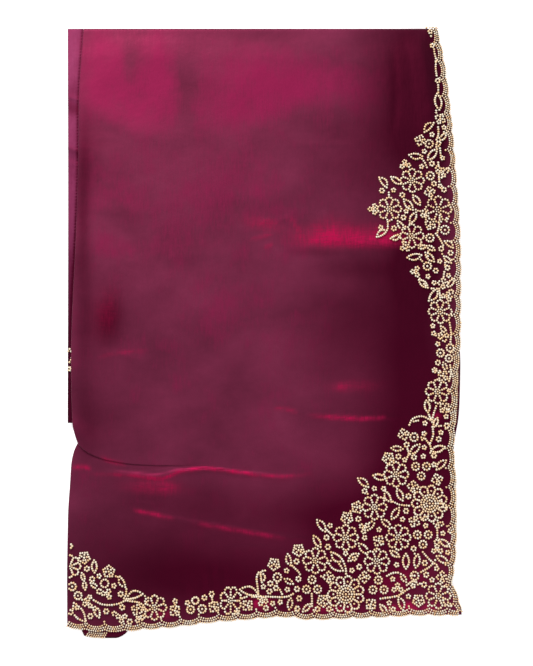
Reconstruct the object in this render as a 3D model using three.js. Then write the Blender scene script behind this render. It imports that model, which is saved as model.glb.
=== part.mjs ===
// A wine red silk saree with a beaded scalloped border, folded in half along its length and
// then crosswise, lying flat with the end corner of its border on top.
// Millimetres, +Z up. The long beaded edge is at +X, the crosswise fold at +Y and the beaded
// end at -Y. The origin is on the surface that the pack lies on, below the middle of its box.
import * as THREE from 'three';

// Cloth
const WALL = 1.2;
const AIR = 0.6; // between two layers that lie on each other
const SEAM = 0.3; // between two pieces that meet
const FOLD_RADIUS = WALL + AIR / 2; // outside of a folded edge, two walls and the air between
const FOLD_LAP = 8; // how far a folded edge turns back under itself
const FOLD_TURN = [-90, -126, -162, -198, -234, -270]; // degrees round a folded edge

// Heights above the hidden layers
const UNDERSIDE = AIR;
const LYING = 0;

// The hidden layers: ten or so thicknesses of cloth, in folds that show at the edges
const PACK_MIDDLE = 10;
const PACK_RIM = 8;
const SHOULDER = 48; // how far in from its edges the pack is rounded
const SHOULDER_STEPS = [0, 7, 15, 24, 35, SHOULDER];
const PACK_SET_IN = 5; // from the border's cloth edge to the hidden folds
const GROOVE = 1.6;
const FOLD_LEVELS = { under: 0.2, nose: 0.5, over: 0.8 }; // shares of one fold's height
const HIDDEN_FOLDS = [ // from the surface up: how far each fold's nose is set in
  { nose: 1.2 },
  { nose: 0.2 },
  { nose: 1.6 },
  { nose: 0 },
  { nose: 0.9 },
];

// The crosswise fold at the far end
const PACK_TOP = 453.4;
const END_BEND = 1.5; // radius that the hidden layers turn with
const BEND_SPAN = 7; // cloth in the turn
const END_DROP = 1.2;
const BEND_START = PACK_TOP - END_BEND;

// How the hidden layers are rounded at their corners and upper rim
const PACK_CORNER = 10;
const PACK_TOP_SET_IN = 0.5;
const PACK_LIP = 1.8;
const PACK_BASE = 2;
const PACK_POINTS = { side: 18, end: 9 };
const STRIP_BED = { full: 8, gone: 33, below: 56, level: 21 }; // round the strip at the left
const PACK_LID = [
  { inset: 1.8, below: 0.7 }, { inset: 5, below: 0.15 }, { inset: 14, below: 0 },
  { inset: 28, below: 0 }, { inset: 48, below: 0 }, { inset: 62, below: 0 },
  { inset: 86, below: 0 }, { inset: 200, below: 0 },
];

// The beaded edging
const SCALLOP = 27; // from notch to notch
const SCALLOP_DEPTH = 2.6;
const SCALLOP_STEPS = 5;
const EDGING_HEIGHT = 2.4;
const BEND_CLEAR = 0.9; // the band stands this much further off the cloth round the far end
const EDGING_HALF_AT_NOTCH = 4.2;
const EDGING_HALF_AT_CREST = 2.8;
const EDGING_HUMP = { out: 0.75, high: 0.7 }; // shares of its half width and its height
const CORNER_RUN = 12; // how far the border's edging runs on round the corner
const BACK_BEAD_RADIUS = 1.8;
const BACK_BEAD_SIDES = 6;

// Left folds of the front panel, above and below the tuck, and of the turn of cloth under it
const UPPER_LEFT = [
  { y: -159, x: -268 }, { y: -147, x: -272.5 }, { y: -129, x: -277 }, { y: -79, x: -280 },
  { y: -19, x: -281.5 }, { y: 62, x: -280 }, { y: 136, x: -278 }, { y: 255, x: -276.5 },
  { y: 345, x: -277.5 }, { y: 457, x: -273 },
];
const LOWER_LEFT = [
  { y: -414, x: -279 }, { y: -321, x: -281 }, { y: -258, x: -281 }, { y: -212, x: -279 },
  { y: -188, x: -278 }, { y: -171, x: -275 }, { y: -151, x: -266 },
];
const UNDER_LEFT = [{ y: -129, x: -285 }, { y: 195, x: -291 }, { y: 457, x: -297 }];
const PACK_LEFT = [
  { y: -409, x: -274 }, { y: -300, x: -276 }, { y: -215, x: -273 }, { y: -175, x: -262 },
  { y: -150, x: -262 }, { y: -112, x: -280 }, { y: 195, x: -286 }, { y: 457, x: -291 },
];
const BACK_LEFT = [
  { y: -409, x: -268 }, { y: -258, x: -270 }, { y: -228, x: -268 }, { y: -165, x: -252 },
  { y: -140, x: -252 }, { y: -90, x: -267 }, { y: 62, x: -269 }, { y: 255, x: -265 },
  { y: 457, x: -262 },
];
const UNDER_RIGHT = -238;
const UNDER_END = -129;
const UNDER_TOP = [{ x: -284, y: 456.5 }, { x: -276, y: 450 }]; // shorter under the front

// Cloth edges under the beaded edging, along the border and across the end
const RIGHT_HEM = [
  { y: -391, x: 267 }, { y: -372, x: 264 }, { y: -348, x: 256 }, { y: -325, x: 261 },
  { y: -280, x: 263 }, { y: -180, x: 263.5 }, { y: -100, x: 271 }, { y: 0, x: 275 },
  { y: 128, x: 277.5 }, { y: 255, x: 272 }, { y: 340, x: 266 }, { y: 400, x: 259.5 },
  { y: 460, x: 248.5 },
];
const END_HEM = [
  { x: -279, y: -409 }, { x: -240, y: -413.5 }, { x: -200, y: -413.5 }, { x: -163, y: -411 },
  { x: -126, y: -408 }, { x: -78, y: -402 }, { x: -27, y: -397 }, { x: 64, y: -397 },
  { x: 157, y: -393 }, { x: 205, y: -390 }, { x: 267, y: -391 },
];
const HEM_CORNER = [{ x: 265.5, y: -384 }, { x: 259, y: -390.5 }];

// The crosswise tuck: its edge, how far the lower stretch runs on under it, and how high the
// upper stretch stands there
const TUCK = [
  { x: -290, y: -150, lap: 8, lift: 3.8 }, { x: -268, y: -159, lap: 8, lift: 3.8 },
  { x: -254, y: -173, lap: 8, lift: 3.8 }, { x: -238, y: -178, lap: 8, lift: 2.6 },
  { x: -222, y: -183, lap: 8, lift: 2.3 }, { x: -187, y: -188, lap: 8, lift: 2.3 },
  { x: -94, y: -191, lap: 8, lift: 2.3 }, { x: -60, y: -193, lap: 8, lift: 2.3 },
  { x: -30, y: -194, lap: -SEAM, lift: 2.3 }, { x: 20, y: -193, lap: -SEAM, lift: 1.8 },
  { x: 90, y: -190, lap: -SEAM, lift: 0 },
  { x: 161, y: -174, lap: -SEAM, lift: 0 }, { x: 280, y: -147, lap: -SEAM, lift: 0 },
];
const TUCK_FLAT = 12; // the lift is full this far above the tuck's edge
const TUCK_RISE = 46; // and gone this far above it
const TUCK_STEPS = [0, 5, TUCK_FLAT, 22, 34, TUCK_RISE];

// The two largest creases of the lower stretch: where their crests run, and how high
const CREASES = [
  { x: -281, ridge: -203, ridgeHigh: 1, slant: -247, slantHigh: 0 },
  { x: -214, ridge: -200, ridgeHigh: 2.6, slant: -249, slantHigh: 0 },
  { x: -154, ridge: -204, ridgeHigh: 2.6, slant: -257, slantHigh: 1.6 },
  { x: -124, ridge: -197, ridgeHigh: 2.2, slant: -263, slantHigh: 1.6 },
  { x: -75, ridge: -196, ridgeHigh: 2, slant: -271, slantHigh: 1.2 },
  { x: -9, ridge: -202, ridgeHigh: 1.8, slant: -282, slantHigh: 1.2 },
  { x: 21, ridge: -205, ridgeHigh: 1.4, slant: -288, slantHigh: 1.2 },
  { x: 70, ridge: -201, ridgeHigh: 1, slant: -292, slantHigh: 0.8 },
  { x: 130, ridge: -197, ridgeHigh: 0, slant: -295, slantHigh: 0 },
  { x: 280, ridge: -190, ridgeHigh: 0, slant: -297, slantHigh: 0 },
];
const RIDGE_HALF = 5.5;
const SLANT_HALF = 8;
const ROW_APART = 0.8; // rows of points never lie closer than this

// The soft roll beside the upper border: across it from the hem, and how high it stands
const ROLL = [
  { in: 0, high: 0 }, { in: 7, high: 0 }, { in: 15, high: 1.2 }, { in: 24, high: 2.4 },
  { in: 35, high: 1.4 }, { in: SHOULDER, high: 0 },
];
const ROLL_LENGTH = [{ y: 210, share: 0 }, { y: 300, share: 1 }, { y: 460, share: 1 }];

// The folded-back half: how far it shows past the front's hem, or is hidden inside it
const BACK_PAST_RIGHT = [
  { y: -325, past: -2 }, { y: -290, past: 2.5 }, { y: -45, past: 2.5 }, { y: -10, past: -2 },
];
const BACK_PAST_END = [
  { x: -262, past: -2 }, { x: -253, past: 9.5 }, { x: -222, past: 10.5 },
  { x: -211, past: 12 }, { x: -200, past: 9 }, { x: -190, past: -2 },
];
const BACK_CORNER_STEPS = [8, 17, 30, 48, 58, 70, 82]; // columns where its end steps out
const BACK_ROWS = [-325, -290, -228, -165, -140, -90, -45, -10]; // where its edges change
const BACK_EDGE_RIGHT = { from: -305, to: -25 };
const BACK_EDGE_END = { from: -252, to: -224 };

const WINE = new THREE.MeshStandardMaterial({ color: 0x7a1f45, roughness: 0.42 });
const DEEP_WINE = new THREE.MeshStandardMaterial({ color: 0x4a1029, roughness: 0.5 });
const MAUVE = new THREE.MeshStandardMaterial({ color: 0x99406c, roughness: 0.45 });
const GOLD = new THREE.MeshStandardMaterial({ color: 0xe3c48c, roughness: 0.3, metalness: 0.7 });

// How finely the walls are divided
const MIDDLE_COLUMNS = 8;
const UNDER_COLUMNS = [0.15, 0.3, 0.5, 0.75, 1]; // shares of the strip's width
const MIDDLE_ROWS = { upper: 11, lower: 2, back: 7, under: 9, bend: 2, rim: 9, lens: 2 };
const PASSES = 8; // rounds that settle a point on its row and its column

const { clamp, degToRad, lerp, smoothstep } = THREE.MathUtils;

// The smooth line through a table's rows, which never passes beyond them
function follow(rows, key, column, at) {
  const end = rows.length - 1;
  const place = clamp(at, rows[0][key], rows[end][key]);
  const i = Math.min(rows.findIndex((row, k) => k === end || place <= rows[k + 1][key]), end - 1);
  const secant = (k) => {
    const a = rows[clamp(k, 0, end - 1)];
    const b = rows[clamp(k, 0, end - 1) + 1];
    return (b[column] - a[column]) / (b[key] - a[key]);
  };
  const slope = (k) => {
    const before = secant(k - 1);
    const after = secant(k);
    return before * after > 0 ? 2 * before * after / (before + after) : 0;
  };
  const width = rows[i + 1][key] - rows[i][key];
  const t = (place - rows[i][key]) / width;
  const turn = t * t * (3 - 2 * t);
  return lerp(rows[i][column], rows[i + 1][column], turn)
    + width * t * (1 - t) * (slope(i) * (1 - t) - slope(i + 1) * t);
}

const rightHem = (y) => follow(RIGHT_HEM, 'y', 'x', y);
const endHem = (x) => follow(END_HEM, 'x', 'y', x);
const underLeft = (y) => follow(UNDER_LEFT, 'y', 'x', y);
const tuckEdge = (x) => follow(TUCK, 'x', 'y', x);
const crease = (column, x) => follow(CREASES, 'x', column, x);
const upperLeft = (y) => follow(UPPER_LEFT, 'y', 'x', y);
const lowerLeft = (y) => follow(LOWER_LEFT, 'y', 'x', y);

// How high the top of the hidden layers is
function packTop(x, y) {
  const within = [x - underLeft(y), rightHem(y) - x, y - endHem(x), PACK_TOP - y];
  const rounding = within.reduce((all, inside) => all * smoothstep(inside, 0, SHOULDER), 1);
  return lerp(PACK_RIM, PACK_MIDDLE, rounding);
}

// A point of cloth: x across, along up the cloth, and high above the hidden layers. A cloth
// that turns goes down over the crosswise fold at the far end.
function onPack(x, along, high, turns) {
  const past = turns ? Math.max(along - BEND_START, 0) : 0;
  const lean = Math.min(past / BEND_SPAN, 1) * Math.PI / 2;
  const drop = Math.max(past - BEND_SPAN, 0);
  const y = along - past;
  return new THREE.Vector3(
    x,
    y + (END_BEND + high) * Math.sin(lean),
    packTop(x, y) - END_BEND + (END_BEND + high) * Math.cos(lean) - drop,
  );
}

// How far the upper stretch is raised by the tuck and by the soft roll beside its border
function upperLift(x, along) {
  const above = along - tuckEdge(x);
  const tuck = follow(TUCK, 'x', 'lift', x) * (1 - smoothstep(above, TUCK_FLAT, TUCK_RISE));
  const roll = follow(ROLL, 'in', 'high', rightHem(along) - x);
  return tuck + roll * follow(ROLL_LENGTH, 'y', 'share', along);
}

// How far the creases raise the lower stretch
function lowerLift(x, along) {
  const crest = (line, half) => {
    const off = Math.abs(along - crease(line, x)) / half;
    return crease(`${line}High`, x) * (1 - smoothstep(off, 0, 1));
  };
  return crest('ridge', RIDGE_HALF) + crest('slant', SLANT_HALF);
}

// One closed body from its points and faces, turned so that the faces point outwards
function closedBody(name, material, points, faces) {
  const volume = faces.reduce((sum, [a, b, c]) => {
    const cross = new THREE.Vector3().crossVectors(points[b], points[c]);
    return sum + points[a].dot(cross);
  }, 0);
  const facing = volume > 0 ? faces : faces.map(([a, b, c]) => [a, c, b]);
  const geometry = new THREE.BufferGeometry().setFromPoints(points);
  geometry.setIndex(facing.flat());
  geometry.computeVertexNormals();
  const mesh = new THREE.Mesh(geometry, material);
  mesh.name = name;
  return mesh;
}

// A closed body through rings of points. Each ring has as many points as the next, and the
// first and last are closed by a fan round their middle.
function loft(name, material, rings) {
  const around = rings[0].length;
  const points = rings.flat();
  const faces = [];
  for (let ring = 0; ring < rings.length - 1; ring += 1) {
    for (let k = 0; k < around; k += 1) {
      const here = ring * around + k;
      const next = ring * around + (k + 1) % around;
      faces.push([here, next, next + around], [here, next + around, here + around]);
    }
  }
  const cap = (ring, start, turned) => {
    const middle = new THREE.Vector3();
    ring.forEach((point) => middle.addScaledVector(point, 1 / around));
    const centre = points.push(middle) - 1;
    for (let k = 0; k < around; k += 1) {
      const pair = [start + k, start + (k + 1) % around];
      faces.push(turned ? [centre, pair[1], pair[0]] : [centre, pair[0], pair[1]]);
    }
  };
  cap(rings[0], 0, true);
  cap(rings[rings.length - 1], (rings.length - 1) * around, false);
  return closedBody(name, material, points, faces);
}

// A closed wall: a grid of points on its outside, the same grid on its inside, and a rim
function wall(name, material, rows, columns, point) {
  const grid = (side) => rows.flatMap((row) => columns.map((column) => point(row, column, side)));
  const points = [...grid('outer'), ...grid('inner')];
  const across = columns.length;
  const inside = rows.length * across;
  const faces = [];
  const quad = (a, b, c, d) => faces.push([a, b, c], [a, c, d]);
  for (let row = 0; row < rows.length - 1; row += 1) {
    for (let column = 0; column < across - 1; column += 1) {
      const a = row * across + column;
      const d = a + across;
      quad(a, a + 1, d + 1, d);
      quad(a + inside, d + inside, d + 1 + inside, a + 1 + inside);
    }
  }
  const border = [];
  for (let column = 0; column < across - 1; column += 1) border.push(column);
  for (let row = 0; row < rows.length - 1; row += 1) border.push(row * across + across - 1);
  for (let column = across - 1; column > 0; column -= 1) border.push(inside - across + column);
  for (let row = rows.length - 1; row > 0; row -= 1) border.push(row * across);
  border.forEach((a, k) => {
    const b = border[(k + 1) % border.length];
    quad(b, a, a + inside, b + inside);
  });
  return closedBody(name, material, points, faces);
}

// Places between two ends, without the ends
const spread = (from, to, count) => Array.from({ length: count }, (_, k) => (
  lerp(from, to, (k + 1) / (count + 1))
));

// Columns across a panel. Each gives x and the height above the panel's underside, from the
// panel's left and right edges and the side of the wall.
const sheetTop = { outer: 2 * FOLD_RADIUS, inner: 2 * FOLD_RADIUS - WALL };
const flatColumn = (place) => (left, right, side) => ({
  x: place(left, right), high: sheetTop[side],
});
const foldColumns = [
  (left, right, side) => ({
    x: left + FOLD_RADIUS + FOLD_LAP, high: side === 'outer' ? 0 : WALL,
  }),
  ...FOLD_TURN.map((degrees) => (left, right, side) => {
    const radius = side === 'outer' ? FOLD_RADIUS : FOLD_RADIUS - WALL;
    const angle = degToRad(degrees);
    return {
      x: left + FOLD_RADIUS + radius * Math.cos(angle),
      high: FOLD_RADIUS + radius * Math.sin(angle),
    };
  }),
];
const middleColumns = (count) => spread(0, 1, count).map((share) => flatColumn(
  (left, right) => lerp(left + SHOULDER, right - SHOULDER, share),
));
const shoulderColumns = SHOULDER_STEPS.slice(1).map((step) => flatColumn((left) => left + step));
const hemColumns = SHOULDER_STEPS.map((step) => flatColumn((left, right) => right - step)).reverse();

// A panel: rows give the way up the cloth at each x, columns the place across it
function panel(name, material, rows, columns, { left, right, base, lift, turns = true }) {
  return wall(name, material, rows, columns, (row, column, side) => {
    let place = { x: 0, high: 0 };
    let along = 0;
    for (let pass = 0; pass < PASSES; pass += 1) {
      along = row(place.x);
      place = column(left(along), right(along), side);
    }
    return onPack(place.x, along, base + place.high + lift(place.x, along), turns);
  });
}

// The front panel above the tuck, which turns down over the far end
function frontUpper() {
  const rows = [
    ...TUCK_STEPS.map((step) => (x) => tuckEdge(x) + step),
    ...spread(0, 1, MIDDLE_ROWS.upper).map((share) => (x) => (
      lerp(tuckEdge(x) + TUCK_RISE, BEND_START - SHOULDER, share)
    )),
    ...SHOULDER_STEPS.map((step) => () => BEND_START - step).reverse(),
    ...spread(0, BEND_SPAN, MIDDLE_ROWS.bend).map((past) => () => BEND_START + past),
    () => BEND_START + BEND_SPAN,
    () => BEND_START + BEND_SPAN + END_DROP,
  ];
  const columns = [
    ...foldColumns, ...shoulderColumns, ...middleColumns(MIDDLE_COLUMNS), ...hemColumns,
  ];
  return panel('front_upper', WINE, rows, columns, {
    left: upperLeft, right: rightHem, base: UNDERSIDE, lift: upperLift,
  });
}

// The front panel below the tuck, with the end of the saree
function frontLower() {
  const lap = (x) => tuckEdge(x) + follow(TUCK, 'x', 'lap', x);
  const ridge = (x) => crease('ridge', x);
  const slant = (x) => crease('slant', x);
  const rows = [
    ...SHOULDER_STEPS.map((step) => (x) => endHem(x) + step),
    ...spread(0, 1, MIDDLE_ROWS.lower).map((share) => (x) => (
      lerp(endHem(x) + SHOULDER, slant(x) - SLANT_HALF, share)
    )),
    (x) => slant(x) - SLANT_HALF,
    slant,
    (x) => slant(x) + SLANT_HALF,
    (x) => (slant(x) + SLANT_HALF + ridge(x) - RIDGE_HALF) / 2,
    (x) => ridge(x) - RIDGE_HALF,
    ridge,
    (x) => Math.min(ridge(x) + RIDGE_HALF, lap(x) - ROW_APART),
    lap,
  ];
  const columns = [
    ...foldColumns, ...shoulderColumns, ...middleColumns(MIDDLE_COLUMNS), ...hemColumns,
  ];
  return panel('front_lower', WINE, rows, columns, {
    left: lowerLeft, right: rightHem, base: UNDERSIDE, lift: lowerLift,
  });
}

// The folded-back half, under the front from its left fold to its own hems
const backRight = (y) => rightHem(y) + follow(BACK_PAST_RIGHT, 'y', 'past', y);
const backEnd = (x) => endHem(x) - follow(BACK_PAST_END, 'x', 'past', x);

function backHalf() {
  const lastRow = BACK_ROWS[BACK_ROWS.length - 1];
  const lastStep = BACK_CORNER_STEPS[BACK_CORNER_STEPS.length - 1];
  const rows = [
    ...SHOULDER_STEPS.map((step) => (x) => backEnd(x) + step),
    ...BACK_ROWS.map((y) => () => y),
    ...spread(lastRow, BEND_START - SHOULDER, MIDDLE_ROWS.back).map((y) => () => y),
    ...SHOULDER_STEPS.slice(1).map((step) => () => BEND_START - step).reverse(),
  ];
  const columns = [
    flatColumn((left) => left),
    ...BACK_CORNER_STEPS.map((step) => flatColumn((left) => left + step)),
    ...spread(0, 1, MIDDLE_COLUMNS).map((share) => flatColumn((left, right) => (
      lerp(left + lastStep, right - SHOULDER, share)
    ))),
    ...hemColumns,
  ];
  return panel('back_half', DEEP_WINE, rows, columns, {
    left: (y) => follow(BACK_LEFT, 'y', 'x', y),
    right: backRight,
    base: UNDERSIDE + WALL - 2 * FOLD_RADIUS,
    lift: () => 0,
  });
}

// The next turn of the cloth, which shows as a strip along the left
function underStrip() {
  const topEdge = (x) => follow(UNDER_TOP, 'x', 'y', x);
  const rows = [
    () => UNDER_END,
    ...spread(UNDER_END, UNDER_TOP[0].y - SHOULDER, MIDDLE_ROWS.under).map((y) => () => y),
    ...SHOULDER_STEPS.map((step) => (x) => topEdge(x) - step).reverse(),
  ];
  const columns = [
    ...foldColumns,
    ...UNDER_COLUMNS.map((share) => flatColumn((left, right) => (
      lerp(left + FOLD_RADIUS, right, share)
    ))),
  ];
  return panel('under_left', MAUVE, rows, columns, {
    left: underLeft, right: () => UNDER_RIGHT, base: -2 * FOLD_RADIUS, lift: () => 0, turns: false,
  });
}

// The hidden layers: a rounded pack with a flat underside, its folds showing round the edges
function foldedLayers() {
  const sides = {
    right: (y) => rightHem(y) - PACK_SET_IN,
    left: (y) => follow(PACK_LEFT, 'y', 'x', y),
    end: (x) => endHem(x) + PACK_SET_IN,
    top: PACK_TOP - PACK_TOP_SET_IN,
  };
  const upTo = (count) => Array.from({ length: count }, (_, k) => k / (count - 1));
  const loop = (inset) => {
    const low = sides.end(0) + inset + PACK_CORNER;
    const high = sides.top - inset - PACK_CORNER;
    const up = upTo(PACK_POINTS.side).map((share) => lerp(low, high, share));
    const corner = PACK_CORNER * (1 - Math.SQRT1_2);
    const at = (x, y) => new THREE.Vector2(x, y);
    const rightEnd = sides.right(low) - inset;
    const rightTop = sides.right(high) - inset;
    const leftTop = sides.left(high) + inset;
    const leftEnd = sides.left(low) + inset;
    const along = (from, to) => upTo(PACK_POINTS.end).map((share) => lerp(from, to, share));
    return [
      ...up.map((y) => at(sides.right(y) - inset, y)),
      at(rightTop - corner, sides.top - inset - corner),
      ...along(rightTop - PACK_CORNER, leftTop + PACK_CORNER).map((x) => at(x, sides.top - inset)),
      at(leftTop + corner, sides.top - inset - corner),
      ...up.reverse().map((y) => at(sides.left(y) + inset, y)),
      at(leftEnd + corner, sides.end(leftEnd) + inset + corner),
      ...along(leftEnd + PACK_CORNER, rightEnd - PACK_CORNER).map((x) => (
        at(x, sides.end(x) + inset)
      )),
      at(rightEnd - corner, sides.end(rightEnd) + inset + corner),
    ];
  };
  // The pack is thinner where the turn of cloth at the left lies on it
  const top = ({ x, y }) => {
    const besideStrip = 1 - smoothstep(x, UNDER_RIGHT + STRIP_BED.full, UNDER_RIGHT + STRIP_BED.gone);
    const upStrip = smoothstep(y, UNDER_END - STRIP_BED.below, UNDER_END - STRIP_BED.level);
    return packTop(x, y) - (2 * FOLD_RADIUS + AIR) * besideStrip * upStrip;
  };
  const ring = (inset, height) => loop(inset).map((point) => (
    new THREE.Vector3(point.x, point.y, height(top(point)))
  ));
  const folds = HIDDEN_FOLDS.flatMap(({ nose }, k) => {
    const level = (share) => (rim) => (rim - PACK_LIP) * (k + share) / HIDDEN_FOLDS.length;
    const first = k === 0 ? [] : [ring(nose + GROOVE, level(0))];
    return [
      ...first,
      ring(nose + GROOVE / 4, level(FOLD_LEVELS.under)),
      ring(nose, level(FOLD_LEVELS.nose)),
      ring(nose + GROOVE / 4, level(FOLD_LEVELS.over)),
    ];
  });
  const lid = PACK_LID.map(({ inset, below }) => ring(inset, (height) => height - below));
  return loft('folded_layers', DEEP_WINE, [ring(PACK_BASE, () => LYING), ...folds, ...lid]);
}

// Rings of points round a line of edging, each from its place in its scallop
function alongEdge(points, section) {
  const curve = new THREE.SplineCurve(points.map(({ x, y }) => new THREE.Vector2(x, y)));
  const scallops = Math.max(Math.round(curve.getLength() / SCALLOP), 1);
  const steps = scallops * SCALLOP_STEPS;
  return Array.from({ length: steps + 1 }, (_, k) => {
    const place = curve.getPointAt(k / steps);
    const tangent = curve.getTangentAt(k / steps);
    const share = (k % SCALLOP_STEPS) / SCALLOP_STEPS;
    const arch = 1 - (2 * share - 1) ** 2;
    const clear = BEND_CLEAR * smoothstep(place.y, BEND_START - SCALLOP / 3, BEND_START);
    return section(arch).map(({ out, high }) => (
      onPack(place.x - tangent.y * out, place.y + tangent.x * out, high + clear, true)
    ));
  });
}

// Three rows of beads in one band, humped, which swells outwards between its notches
function beadedBand(arch) {
  const middle = SCALLOP_DEPTH * arch;
  const half = lerp(EDGING_HALF_AT_NOTCH, EDGING_HALF_AT_CREST, arch);
  const foot = UNDERSIDE + sheetTop.outer + SEAM;
  return [
    { out: middle - half, high: foot },
    { out: middle - half * EDGING_HUMP.out, high: foot + EDGING_HEIGHT * EDGING_HUMP.high },
    { out: middle, high: foot + EDGING_HEIGHT },
    { out: middle + half * EDGING_HUMP.out, high: foot + EDGING_HEIGHT * EDGING_HUMP.high },
    { out: middle + half, high: foot },
  ];
}

// The rim of beads that shows past the front's edge, from the folded-back half
function beadedRim(arch) {
  const centre = BACK_BEAD_RADIUS + AIR + arch;
  return Array.from({ length: BACK_BEAD_SIDES }, (_, k) => {
    const angle = 2 * Math.PI * k / BACK_BEAD_SIDES;
    return {
      out: centre + BACK_BEAD_RADIUS * Math.cos(angle),
      high: UNDERSIDE + WALL / 2 + BACK_BEAD_RADIUS * Math.sin(angle),
    };
  });
}

function edgings() {
  const meet = END_HEM.length - 1;
  const join = { x: HEM_CORNER[1].x - CORNER_RUN, y: END_HEM[meet].y };
  const border = [...RIGHT_HEM.slice(1).reverse(), ...HEM_CORNER, join];
  const end = [{ x: join.x - SEAM, y: join.y }, ...END_HEM.slice(0, meet).reverse()];
  const downBack = spread(BACK_EDGE_RIGHT.to, BACK_EDGE_RIGHT.from, MIDDLE_ROWS.rim);
  const backBorder = [BACK_EDGE_RIGHT.to, ...downBack, BACK_EDGE_RIGHT.from]
    .map((y) => ({ x: backRight(y), y }));
  const acrossBack = spread(BACK_EDGE_END.to, BACK_EDGE_END.from, MIDDLE_ROWS.lens);
  const backAcross = [BACK_EDGE_END.to, ...acrossBack, BACK_EDGE_END.from]
    .map((x) => ({ x, y: backEnd(x) }));
  return [
    loft('edging_right', GOLD, alongEdge(border, beadedBand)),
    loft('edging_bottom', GOLD, alongEdge(end, beadedBand)),
    loft('edging_back_right', GOLD, alongEdge(backBorder, beadedRim)),
    loft('edging_back_bottom', GOLD, alongEdge(backAcross, beadedRim)),
  ];
}

const saree = new THREE.Group();
saree.name = 'folded_saree';
saree.add(foldedLayers(), underStrip(), backHalf(), frontLower(), frontUpper(), ...edgings());

// The origin goes on the surface below the middle of the whole box
const box = new THREE.Box3().setFromObject(saree);
const middle = box.getCenter(new THREE.Vector3());
saree.position.set(-middle.x, -middle.y, -box.min.z);
saree.updateMatrixWorld(true);

export default saree;
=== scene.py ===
# A wine red silk saree with a beaded scalloped border, folded and lying flat, seen from above.
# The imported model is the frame. Its cloth is dressed in thin creased shells, its edging and its
# embroidery in single beads. Sizes are in millimetres and are turned into metres at the end.
# The working coordinates have their zero in the middle of the photograph, on the cloth.
import math

import bpy
import numpy as np
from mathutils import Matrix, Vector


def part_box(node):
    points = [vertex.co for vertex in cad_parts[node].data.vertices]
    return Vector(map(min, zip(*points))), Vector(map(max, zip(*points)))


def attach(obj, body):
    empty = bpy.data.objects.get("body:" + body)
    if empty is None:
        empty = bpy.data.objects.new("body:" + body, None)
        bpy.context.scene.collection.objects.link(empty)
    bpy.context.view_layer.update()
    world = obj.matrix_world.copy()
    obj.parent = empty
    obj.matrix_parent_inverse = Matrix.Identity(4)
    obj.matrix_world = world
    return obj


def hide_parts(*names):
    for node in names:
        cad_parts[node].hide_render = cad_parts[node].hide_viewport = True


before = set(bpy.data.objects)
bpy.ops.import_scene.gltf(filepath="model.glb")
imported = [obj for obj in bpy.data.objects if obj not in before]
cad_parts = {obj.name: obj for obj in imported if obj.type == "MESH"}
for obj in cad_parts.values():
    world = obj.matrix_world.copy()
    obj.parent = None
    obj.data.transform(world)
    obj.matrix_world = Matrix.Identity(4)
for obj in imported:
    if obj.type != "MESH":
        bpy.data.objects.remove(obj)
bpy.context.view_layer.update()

MM = 0.001
STRIP_LOW_CORNER = (-297.0, -129.0)  # of the strip at the left, in the working coordinates
strip_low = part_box("under_left")[0]
SHIFT = np.array([
    strip_low.x / MM - STRIP_LOW_CORNER[0],
    strip_low.y / MM - STRIP_LOW_CORNER[1],
    0.0,
])
random = np.random.default_rng(7)


def table(columns, *rows):
    """A short table as its columns by name."""
    return dict(zip(columns.split(), np.array(rows, float).T))


# Cloth
CLOTH = 0.5  # thickness of one layer
AIR = 0.6  # under the strip at the left
FOLD_RADIUS = 1.5
FOLD_LAP = (8.0, 5.0, 2.0)  # how far in the points of a fold's turned-in lap lie
FOLD_TURN = np.radians(np.linspace(-90, -270, 9))
FRONT_BASE = 0.6  # the front panel's underside over the hidden layers
FRONT_TOP = FRONT_BASE + 2 * FOLD_RADIUS

# The hidden layers
PACK_MIDDLE = 10.0  # how high they stand
PACK_RIM = 8.0  # the same at their edges
SHOULDER = 48.0  # how wide the slope between the two is
PACK_SET_IN = 5.0
PACK_CORNER = 10.0
PACK_TOP_SET_IN = 0.5

# The crosswise fold at the far end
PACK_TOP = 453.4
END_BEND = 1.5  # radius
BEND_SPAN = 7.0  # length of cloth that lies round the bend
END_DROP = 1.2  # how far it hangs below the bend
BEND_START = PACK_TOP - END_BEND

# The beaded edging
SCALLOP = 27.0
SCALLOP_DEPTH = 2.6
ARCH_POWER = 0.7  # the notches are narrow and the crests wide
BEND_CLEAR = 0.9  # how much higher the beads lie at the far end's bend
CORNER_RUN = 12.0  # how far the right side's edging goes on past the corner
CORNER_OUT = 3.6  # of the cloth there, past the line of its edging
CORNER_START = 246.0  # where that begins along the end
CORNER_TOP = -388.0  # the cloth's right edge follows its scallops down to here
EDGING_GAP = 0.3  # between the two lengths of edging
CLOTH_PAST_MIDDLE = 2.1  # the cloth's edge lies under the outer beads

# Left folds of the front panel above and below the tuck, of the strip and of the hidden layers
UPPER_LEFT = table(
    "y x", (-159, -268), (-147, -272.5), (-129, -277), (-79, -280), (-19, -281.5), (62, -280),
    (136, -278), (255, -276.5), (345, -277.5), (457, -273))
LOWER_LEFT = table(
    "y x", (-414, -279), (-321, -281), (-258, -281), (-212, -279), (-188, -278), (-171, -275),
    (-151, -266))
UNDER_LEFT = table("y x", (-129, -285), (195, -291), (457, -297))
PACK_LEFT = table(
    "y x", (-409, -274), (-300, -276), (-215, -273), (-175, -262), (-150, -262), (-112, -280),
    (195, -286), (457, -291))
BACK_LEFT = table(
    "y x", (-409, -268), (-258, -270), (-228, -268), (-165, -252), (-140, -252), (-90, -267),
    (62, -269), (255, -265), (457, -262))
UNDER_RIGHT = -238.0
UNDER_END = -129.0
UNDER_TOP = table("x y", (-272.6, 456.5), (-271.4, 450))

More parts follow.
